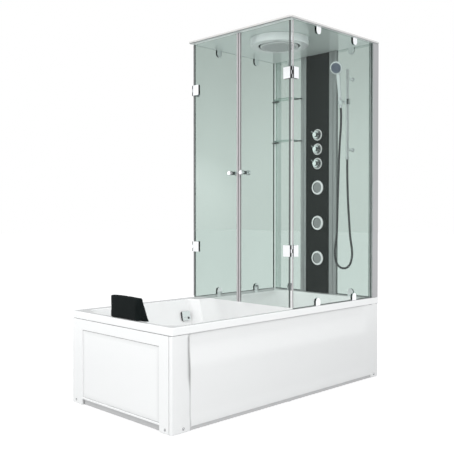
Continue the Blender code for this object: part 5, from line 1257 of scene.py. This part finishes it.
class CABIN_OT_glass(bpy.types.Operator):
    """Every clear pane with its ground edges: side, end and door glass and the two shelves"""

    bl_idname = "cabin.glass"
    bl_label = "Clear glass"

    PANES = (
        ("front_glass", "cabin", 1, (2, 0.4990, 0.5050)),
        ("rear_glass", "cabin", 1, (2, 0.4990, 0.5030)),
        ("end_glass_front", "cabin", 0, (2, 0.4990, 0.5050)),
        ("end_glass_rear", "cabin", 0, (2, 0.4990, 0.5050)),
        ("door_glass_front", "door_front", 0, (1, -0.3900, -0.3800)),
        ("door_glass_rear", "door_rear", 0, (1, 0.3870, 0.3990)),
        ("shelf_lower", "cabin", 2, None), ("shelf_upper", "cabin", 2, None),
    )
    STRIP_X, STRIP_HALF = (0.0262, 0.0331), 0.0028
    STRIP_SPANS = ((0.508, 0.786), (0.854, 1.763), (1.831, 2.0815))

    def execute(self, context):
        for node, body, axis, band in self.PANES:
            pane = from_frame(node, f"{node}_pane")
            soften(pane, context.scene.cabin_sizes.arris, 1, 60.0)
            rules = [("tinted_pane", lambda centre, normal: abs(normal[axis]) > 0.95),
                     ("glass_edge", always)]
            if band:
                across, low, high = band
                split(pane, across, low, high)
                rules.insert(0, ("foot_seal",
                                 lambda centre, normal: low < centre[across] < high))
            painted(pane, rules)
            hand_over(pane, None, body, (node,), 30.0, weighted=False)
            pane.visible_shadow = pane.visible_diffuse = False
        near, far = self.STRIP_X
        for side, y in (("front", FRONT_GLASS_Y), ("rear", REAR_GLASS_Y)):
            before, behind = y - self.STRIP_HALF, y + self.STRIP_HALF
            parts = [block("seal_part", (near, before, low), (far, behind, high))
                     for low, high in self.STRIP_SPANS]
            strip = soften(joined(f"{side}_glass_seal", *parts), 0.0010)
            hand_over(strip, "closing_strip", "cabin")
        return {"FINISHED"}


def plain_dress(rows):
    """Frame nodes with broken edges: node, body, material or rules, slot, edge and angle."""
    for node, body, finish, slot, edge, angle in rows:
        piece = from_frame(node)
        if edge:
            soften(piece, edge, 2, angle)
        plain = isinstance(finish, str)
        if not plain:
            painted(piece, finish)
        hand_over(piece, finish if plain else None, body, (node,), 42.0)


class CABIN_OT_profiles(bpy.types.Operator):
    """The upright profiles at the corners and beside the column, and the doors' closing strips"""

    bl_idname = "cabin.profiles"
    bl_label = "Profiles"

    def execute(self, context):
        plain_dress((
            ("column_profile_front", "cabin", "aluminium_profile", "aluminium", 0.0006, 50.0),
        ))
        arms = WALL_X - 0.0090
        self.dress("column_profile_rear", "cabin", "aluminium", (), (
            ("dark_profile_tone", lambda centre, normal: centre.x < arms),
            ("aluminium_profile", always)))
        dark, pale = 0.4046, WALL_X - 0.0004
        self.dress("corner_profile_rear", "cabin", "dark_profile", (dark,), (
            ("dark_profile_tone", lambda centre, normal: centre.x < pale or centre.y > dark),
            ("pale_strip", always)))
        # Painted shade: a narrow band of the front corner profile's side face, behind the front
        # glass, is dark.
        near, far = -0.3875, -0.3825
        self.dress("corner_profile_front", "cabin", "aluminium", (near, far), (
            ("dark_profile_tone",
             lambda centre, normal: normal.x < -0.6 and near < centre.y < far),
            ("pale_profile", always)))
        # Painted shade: the strips' faces at the gap where they meet are dark.
        for side, meet, way in (("front", 0.0022, 1), ("rear", 0.0073, -1)):
            self.dress(f"door_seal_{side}", f"door_{side}", "seal", (meet,), (
                ("dark_rubber", lambda centre, normal: (centre.y - meet) * way > 0),
                ("closing_strip", always)))
        return {"FINISHED"}

    def dress(self, node, body, slot, places, rules):
        """A profile with edges cut across its depth, so that its faces can be painted apart."""
        piece = from_frame(node)
        split(piece, 1, *places)
        soften(piece, 0.0006, 2, 50.0)
        painted(piece, rules)
        hand_over(piece, None, body, (node,), 42.0)


class CABIN_OT_column(bpy.types.Operator):
    """The dark glass column, its valve knobs on their rings, and the body jets"""

    bl_idname = "cabin.column"
    bl_label = "Column"

    def execute(self, context):
        panel = from_frame("column_panel", "column_sheet")
        low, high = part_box("column_panel")
        sides = (low.y + 0.004, high.y - 0.004)
        split(panel, 1, *sides)
        back = COLUMN_FACE_X + GLASS + 0.0005
        # Painted shade: the column's faces within 4 mm of its sides are dark, at the gaps beside
        # the profiles.
        painted(panel, (
            ("grey_plastic", lambda centre, normal: centre.x > back),
            ("dark_rubber", lambda centre, normal: not sides[0] < centre.y < sides[1]),
            ("column_glass", always)))
        hand_over(panel, None, "cabin", ("column_panel",), 35.0)
        for name, z in VALVE_Z.items():
            self.valve(name, z)
        for name, z in JET_Z.items():
            self.jet(name, z)
        return {"FINISHED"}

    def on_face(self, z, behind):
        """A fitting's own frame on the column, turned to the room."""
        return shift(COLUMN_FACE_X + behind, COLUMN_Y, z) @ TO_ROOM

    def fixed(self, kind, name, place, outline, bore, shadow_ring):
        """A fitting's pale ring with its bore painted dark as shade, and a thin dark ring round its
        foot as painted shadow.
        """
        middle = place.translation
        ring = turned(f"{kind}_{name}_ring", outline, place, ring=True, corner=0.001)
        # Painted shade: the ring's bore is dark.
        painted(ring, (("dark_rubber", lambda centre, normal: (centre - middle).yz.length < bore),
                       ("ring_plate", always)))
        hand_over(ring, None, "cabin", (f"{kind}_ring_{name}",))
        # Painted shadow: a thin dark ring where the fitting meets the column.
        inner, outer = shadow_ring
        outline = [(inner, 0.0009), (outer, 0.0009), (outer, 0), (inner, 0)]
        shadow_ring = turned(f"{kind}_{name}_gasket", outline, place, ring=True, corner=0)
        hand_over(shadow_ring, "dark_rubber", "cabin")

    def valve(self, name, z):
        """One stepped knob with its pin, on its fixed ring."""
        place = self.on_face(z, -FIT)
        outline = [(0.017, 0.007), (0.0315, 0.007), (0.0340, 0.007), (0.0375, 0.005), (0.0375, 0),
                   (0.017, 0)]
        self.fixed("valve", name, place, outline, 0.0305, (0.0376, 0.0390))
        base, foot = 0.0073, -0.020
        steps = ((0, 0.030), (0.0145, 0.030), (0.016, 0.0285), (0.016, 0.0165), (0.0240, 0.0165),
                 (0.0255, 0.0150), (0.0255, 0.003), (0.0285, 0.003), (0.029, 0.0025), (0.029, 0),
                 (0.015, 0))
        outline = [(radius, base + height) for radius, height in steps] + [(0.015, foot), (0, foot)]
        knob = turned(f"valve_{name}_body", outline, place, corner=0.0011)
        # Painted reflection: the knob's side walls are dark, as if mirroring the dark column.
        painted(knob, (("dark_rubber", lambda centre, normal: abs(normal.x) < 0.5),
                       ("chrome_plate", always)))
        angle = math.radians(40)
        way = Vector((math.sin(angle), math.cos(angle), 0))
        height = Vector((0, 0, base + 0.024))
        pin = tube(f"valve_{name}_pin", [height + way * r for r in (0.010, 0.034, 0.036, 0.037)],
                   [0.0022, 0.0022, 0.0022, 0.0012], 16, place)
        painted(pin, (("dark_rubber", lambda centre, normal: False), ("chrome_plate", always)))
        knob = joined(f"valve_{name}_knob", knob, pin)
        for finish in ("dark_rubber", "chrome_plate"):
            knob.data.materials.append(look(finish))
        hand_over(knob, None, f"valve_{name}", (f"valve_knob_{name}",))

    def jet(self, name, z):
        """One body jet: a pale ring, a swivelling plate and rings of small nozzles."""
        outline = [(0.033, 0.004), (0.035, 0.006), (0.0435, 0.006), (0.0475, 0.002), (0.0475, 0),
                   (0.033, 0)]
        self.fixed("jet", name, self.on_face(z, -FIT), outline, 0.0348, (0.0476, 0.0492))
        place = self.on_face(z, 0.003)
        radius, rows = 0.0325, 8
        edge = math.asin(0.006 / radius)
        outline = [(0, 0.0075), (0.016, 0.0071)]
        for n in range(rows + 1):
            a = edge - 2 * edge * n / rows
            outline.append((radius * math.cos(a), radius * math.sin(a)))
        outline.append((0, -0.006))
        plate = turned(f"jet_{name}_plate", outline, place, corner=0)
        hand_over(plate, "jet_plate", f"jet_{name}", (f"jet_nozzle_{name}",))
        spots = []
        for x, y in ring_places(((0.006, 6), (0.012, 12), (0.018, 18), (0.024, 24))):
            reach = math.hypot(x, y)
            spots.append((x, y, 0.0073 - reach * reach * 1.6))
        studs(f"jet_{name}_nozzles", f"jet_{name}", place, spots, (0.0012, 0.0008, 0.0014),
              "rain_nozzle")


class CABIN_OT_door_hardware(bpy.types.Operator):
    """The doors' hinges and round knobs"""

    bl_idname = "cabin.door_hardware"
    bl_label = "Hinges and knobs"

    def execute(self, context):
        edge = context.scene.cabin_sizes.edge
        rows = []
        for side in ("front", "rear"):
            for level in ("lower", "upper"):
                door = self.plates(0, DOOR_X)
                fixed = self.plates(1, FRONT_GLASS_Y if side == "front" else REAR_GLASS_Y)
                halves = (("door", f"door_{side}", door), ("fixed", "cabin", fixed))
                for half, body, rules in halves:
                    rows.append((f"hinge_{half}_{side}_{level}", body, rules, "chrome", edge, 50.0))
        plain_dress(rows)
        for side in ("front", "rear"):
            self.knob(side)
        return {"FINISHED"}

    def plates(self, axis, middle):
        """Bright outer faces on both sides of the glass; dark inner faces for the rubber pads, and
        dark edges as painted shade.
        """
        def bright(centre, normal):
            return abs(normal[axis]) > 0.35 and (centre[axis] - middle) * normal[axis] > 0
        return (("chrome_plate", bright), ("dark_rubber", always))

    def knob(self, side):
        """One knob through the glass, with its dark collars."""
        low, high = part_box(f"door_knob_{side}")
        place = Matrix.Translation((low + high) / 2) @ TO_ROOM
        half = GLASS / 2 + FIT
        steps = ((0, 0.035), (0.010, 0.035), (0.014, 0.0315), (0.014, 0.018), (0.0125, 0.0155),
                 (0.0075, 0.013), (0.0075, 0.002), (0.004, 0.002))
        upper = [(radius, half + height) for radius, height in steps]
        outline = upper + [(r, -h) for r, h in reversed(upper)]
        knob = turned(f"door_{side}_knob", outline, place, corner=0.0012)
        hand_over(knob, "chrome_plate", f"door_{side}", (f"door_knob_{side}",))
        ring = [(0.0078, half + 0.004), (0.0100, half + 0.004), (0.0100, half), (0.0078, half)]
        for number, way in enumerate((1, -1)):
            collar = turned(f"door_{side}_collar_{number}", [(r, h * way) for r, h in ring], place,
                            ring=True, corner=0.0004)
            hand_over(collar, "dark_rubber", f"door_{side}")


class CABIN_OT_clamps(bpy.types.Operator):
    """The round-headed glass clamps on the rim"""

    bl_idname = "cabin.clamps"
    bl_label = "Glass clamps"

    def execute(self, context):
        edge = context.scene.cabin_sizes.edge
        # Painted shade: the clamps' faces towards the head end are dark.
        sides = (("dark_rubber", lambda centre, normal: normal.x < -0.6), ("chrome_plate", always))
        names = ("front_far", "front_near", "rear_far", "rear_near")
        rows = [(f"clamp_{name}", "cabin", sides, "chrome", edge, 50.0) for name in names]
        rows += [(f"clamp_end_{side}", "cabin", "chrome_plate", "chrome", edge, 50.0)
                 for side in ("front", "rear")]
        plain_dress(rows)
        return {"FINISHED"}


class CABIN_OT_roof(bpy.types.Operator):
    """The roof with its upper clamps, the ring under it and the perforated rain head"""

    bl_idname = "cabin.roof"
    bl_label = "Roof and rain head"

    def execute(self, context):
        roof = from_frame("roof_panel", "roof_sheet")
        lip, clamps_end = CEILING + 0.004, 0.70
        split(roof, 2, lip)
        # Painted shade: the upper clamps' faces towards the head end are dark.
        painted(roof, (
            ("dark_rubber", lambda centre, normal: (
                centre.z < CEILING and normal.x < -0.6 and centre.x < clamps_end)),
            ("chrome_plate", lambda centre, normal: centre.z < CEILING - 0.0002),
            ("lit_ceiling_acrylic", lambda centre, normal: centre.z < lip and normal.z < -0.9),
            ("aluminium_profile", lambda centre, normal: centre.z < lip),
            ("roof_acrylic", always)))
        hand_over(roof, None, "cabin", ("roof_panel",), 35.0)
        inner, outer, top = 0.125, 0.178, 0.048
        outline = [(inner, top), (outer, top), (outer, 0.006), (0.176, 0.002), (0.172, 0),
                   (0.131, 0), (inner, 0.006)]
        canopy = turned("rain_ring", outline, Matrix.Translation(RAIN), 128, ring=True,
                        corner=0.003)
        painted(canopy, (
            ("foot_seal", lambda centre, normal: (centre - RAIN).xy.length < inner + 0.0012),
            ("canopy_acrylic", always)))
        hand_over(canopy, None, "cabin", ("rain_canopy",))
        place = Matrix.Translation(RAIN - Vector((0, 0, 0.003)))
        rim = RAIN_RADIUS - 0.004
        outline = [(0, 0.051), (0.020, 0.051), (0.020, 0.022), (0.040, 0.014), (rim, 0.014),
                   (RAIN_RADIUS, 0.010), (RAIN_RADIUS, 0.004), (rim, 0), (0.109, 0),
                   (0.1085, 0.0012), (0.106, 0.0012), (0.1055, 0), (0, 0)]
        plate = turned("rain_plate_body", outline, place, 112, corner=0.0006)
        hand_over(plate, "rain_plate", "cabin", ("rain_head",))
        places = sunflower(context.scene.cabin_sizes.rain_jets, RAIN_RADIUS - 0.012)
        spots = [(x, y, 0.0003) for x, y in places]
        studs("rain_nozzles", "cabin", place, spots, (0.0025, 0.0020, 0.0012), "rain_nozzle", -1)
        return {"FINISHED"}


class CABIN_OT_rail(bpy.types.Operator):
    """The riser rail, its slider, the tilting cradle and the hand shower"""

    bl_idname = "cabin.rail"
    bl_label = "Rail and hand shower"

    def execute(self, context):
        self.riser()
        self.holder()
        self.shower()
        return {"FINISHED"}

    def riser(self):
        """The rail on its two brackets, with the hose's nut at its foot."""
        foot, top, tube_radius, nut = RAIL_FOOT, RAIL_TOP, 0.009, 0.011
        outline = [(0, top), (0.0075, top), (tube_radius, top - 0.0015), (tube_radius, foot),
                   (nut, foot - 0.0015), (nut, foot - HOSE_NUT), (0, foot - HOSE_NUT)]
        parts = [turned("rail_tube", outline, shift(RAIL.x, RAIL.y, 0), corner=0.0008)]
        reach = WALL_X - FIT - RAIL.x
        arm = [(0, 0), (0.008, 0), (0.008, reach - 0.006), (0.014, reach - 0.0045),
               (0.014, reach), (0, reach)]
        sleeve = [(0.0091, 0.014), (0.0100, 0.014), (0.0105, 0.013), (0.0105, -0.013),
                  (0.0100, -0.014), (0.0091, -0.014)]
        for z in (foot + 0.045, top - 0.057):
            at = shift(RAIL.x, RAIL.y, z)
            parts.append(turned("rail_arm", arm, at @ turn(90, "Y"), corner=0.0012))
            parts.append(turned("rail_sleeve", sleeve, at, ring=True, corner=0.0004))
        rail = joined("riser_tube", *parts)
        hand_over(rail, "bright_tube", "cabin", ("riser_rail",))

    def holder(self):
        """The slider with its arm, and the cradle with its open side."""
        base = shift(RAIL.x, RAIL.y, SLIDER_Z) @ SLIDER_TURN
        outline = [(0.0095, 0.020), (0.0145, 0.020), (0.016, 0.0185), (0.016, -0.0185),
                   (0.0145, -0.020), (0.0095, -0.020)]
        barrel = turned("slider_barrel", outline, base, ring=True, corner=0.001)
        reach = CRADLE_REACH - 0.0185 - 0.0065 - 0.0005 - 0.011
        outline = [(0, 0), (0.008, 0), (0.008, reach - 0.0025), (0, reach - 0.0025)]
        along = base @ shift(0, 0.0135, 0) @ turn(-90, "X")
        arm = turned("slider_arm", outline, along, corner=0.0008)
        slider = joined("slider_body", barrel, arm)
        hand_over(slider, "chrome_plate", "slider", ("slider",))
        place = shower_place()
        outline = [(0.0149, 0.015), (0.017, 0.015), (0.0185, 0.0135), (0.0185, -0.0135),
                   (0.017, -0.015), (0.0119, -0.015)]
        ring = turned("cradle_ring", outline, place, ring=True, corner=0.0008)
        cutter = block("cradle_gap", (-0.03, -0.00775, -0.03), (0.0, 0.00775, 0.03))
        cutter.data.transform(place)
        carve(ring, cutter)
        outline = [(0, 0), (0.008, 0), (0.008, 0.0075), (0, 0.0075)]
        along = place @ shift(0, -0.0175, 0) @ turn(90, "X")
        neck = turned("cradle_neck", outline, along, corner=0.0006)
        cradle = joined("cradle_body", ring, neck)
        hand_over(cradle, "chrome_plate", "cradle", ("cradle",))

    def shower(self):
        """The hand shower: handle, cone, neck and round head with its nozzle face."""
        place = shower_place()
        outline = [(0, 0.185), (0.0108, 0.185), (0.0135, 0.182), (0.0125, 0.150), (0.0110, 0.100),
                   (0.0110, 0.033), (0.0145, 0.0165), (0.0115, -0.015), (0.0095, -0.0165),
                   (0.0095, -HANDLE_STUB), (0, -HANDLE_STUB)]
        handle = turned("shower_handle", outline, place, corner=0.002)
        facing = place @ shift(0.0, 0, 0.219) @ turn(-100, "Y")
        outline = [(0, 0.0235), (0.030, 0.0235), (0.034, 0.024), (0.0405, 0.0225), (0.042, 0.0168),
                   (0.0391, 0.010), (0.0294, 0.0029), (0.0147, 0), (0, 0)]
        head = turned("shower_head", outline, facing, corner=0.0012)
        line = [(0.001, 0, 0.165), (0.001, 0, 0.180), (0.001, 0, 0.192), (0, 0, 0.205),
                (0, 0, 0.214)]
        neck = tube("shower_neck", line, [0.0118, 0.0125, 0.0125, 0.0122, 0.0115], 32, place)
        body = joined("hand_shower_body", handle, head, neck)
        hand_over(body, "pale_chrome", "hand_shower", ("hand_shower",))
        outline = [(0, 0.0242), (0.0315, 0.0242), (0.0325, 0.0238), (0.0325, 0.0225), (0, 0.0225)]
        face = turned("spray_disc", outline, facing, corner=0.0003)
        hand_over(face, "spray_face", "hand_shower")
        places = ring_places(((0.006, 6), (0.0115, 12), (0.017, 18), (0.0225, 24), (0.028, 30)))
        spots = [(x, y, 0.0240) for x, y in places]
        studs("spray_nozzles", "hand_shower", facing, spots, (0.0013, 0.0009, 0.0012),
              "spray_nozzle")


class CABIN_OT_waste(bpy.types.Operator):
    """The overflow cap, the drain plug in its flange and the waste pipes"""

    bl_idname = "cabin.waste"
    bl_label = "Waste and overflow"

    def execute(self, context):
        edge = context.scene.cabin_sizes.edge
        out = overflow_place().to_3x3() @ Vector((0, 0, 1))
        # Painted shade: the cap's faces that do not face the basin are dark.
        cap = (("chrome_plate", lambda centre, normal: normal.dot(out) > 0.35),
               ("dark_rubber", always))
        plain_dress((
            ("overflow_cap", "overflow_cap", cap, "chrome", edge, 30.0),
            ("drain_plug", "drain_plug", "chrome_plate", "chrome", 0.0, 50.0),
            ("waste_kit", "cabin", "grey_plastic", "plastic", 0.0, 50.0),
        ))
        return {"FINISHED"}


class CABIN_OT_base(bpy.types.Operator):
    """The painted base frame with its feet, and the panels' screw caps"""

    bl_idname = "cabin.base"
    bl_label = "Base frame"

    CAP_Z, CAP_RADIUS, CAP_DEPTH, CAP_SIDES = 0.021, 0.0054, 0.0030, 32

    def execute(self, context):
        plain_dress((("base_frame", "cabin", "painted_steel", "steel", 0.0008, 50.0),))
        front, side = turn(90, "X"), HEAD_X + 0.0004
        radius, depth, level = self.CAP_RADIUS, self.CAP_DEPTH, 0.0001
        edge = [(0.0055, level), (0.0068, level), (0.0068, -0.0020), (0.0055, -0.0020)]
        for number, (x, y, way, dome) in enumerate((
                (-0.778, FRONT_Y + 0.0012, front, 0.0009),
                (0.8025, FRONT_Y + 0.0030, front, 0.0015),
                (side, -0.368, TO_ROOM, 0.0003), (side, 0.382, TO_ROOM, 0.0003))):
            place = shift(x, y, self.CAP_Z) @ way
            name = f"screw_cap_{number}"
            outline = [(0, dome), (0.0030, dome * 0.8), (radius, level), (radius, -depth),
                       (0, -depth)]
            cap = turned(name, outline, place, self.CAP_SIDES, corner=0)
            hand_over(cap, "chrome_plate", "cabin")
            # Painted shadow: a thin dark ring round each cap, for the groove round it.
            ring = turned(f"{name}_edge", edge, place, self.CAP_SIDES, ring=True, corner=0)
            hand_over(ring, "dark_rubber", "cabin")
        return {"FINISHED"}


OPERATORS = (CABIN_OT_stage, CABIN_OT_hose, CABIN_OT_tub, CABIN_OT_apron, CABIN_OT_end_panel,
             CABIN_OT_headrest, CABIN_OT_glass, CABIN_OT_profiles, CABIN_OT_column,
             CABIN_OT_door_hardware, CABIN_OT_clamps, CABIN_OT_roof, CABIN_OT_rail, CABIN_OT_waste,
             CABIN_OT_base)


class CABIN_PT_finish(bpy.types.Panel):
    """The sidebar list of everything that builds the cabin's finish"""

    bl_idname = "CABIN_PT_finish"
    bl_label = "Shower cabin"
    bl_space_type = "VIEW_3D"
    bl_region_type = "UI"
    bl_category = "Shower cabin"

    def draw(self, context):
        for group in (context.scene.cabin_sizes, context.scene.cabin_colours):
            box = self.layout.box()
            for name in group.__annotations__:
                box.prop(group, name)
        for operator in OPERATORS:
            self.layout.operator(operator.bl_idname)


CLASSES = (CabinSizes, CabinColours, *OPERATORS, CABIN_PT_finish)


def register():
    """Adds the classes and the scene's two groups of settings."""
    for part in CLASSES:
        bpy.utils.register_class(part)
    bpy.types.Scene.cabin_sizes = PointerProperty(type=CabinSizes)
    bpy.types.Scene.cabin_colours = PointerProperty(type=CabinColours)


def unregister():
    """Takes them away again."""
    del bpy.types.Scene.cabin_sizes
    del bpy.types.Scene.cabin_colours
    for part in reversed(CLASSES):
        bpy.utils.unregister_class(part)


def main():
    """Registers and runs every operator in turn."""
    register()
    for operator in OPERATORS:
        group, name = operator.bl_idname.split(".")
        getattr(getattr(bpy.ops, group), name)()


if __name__ == "__main__":
    main()
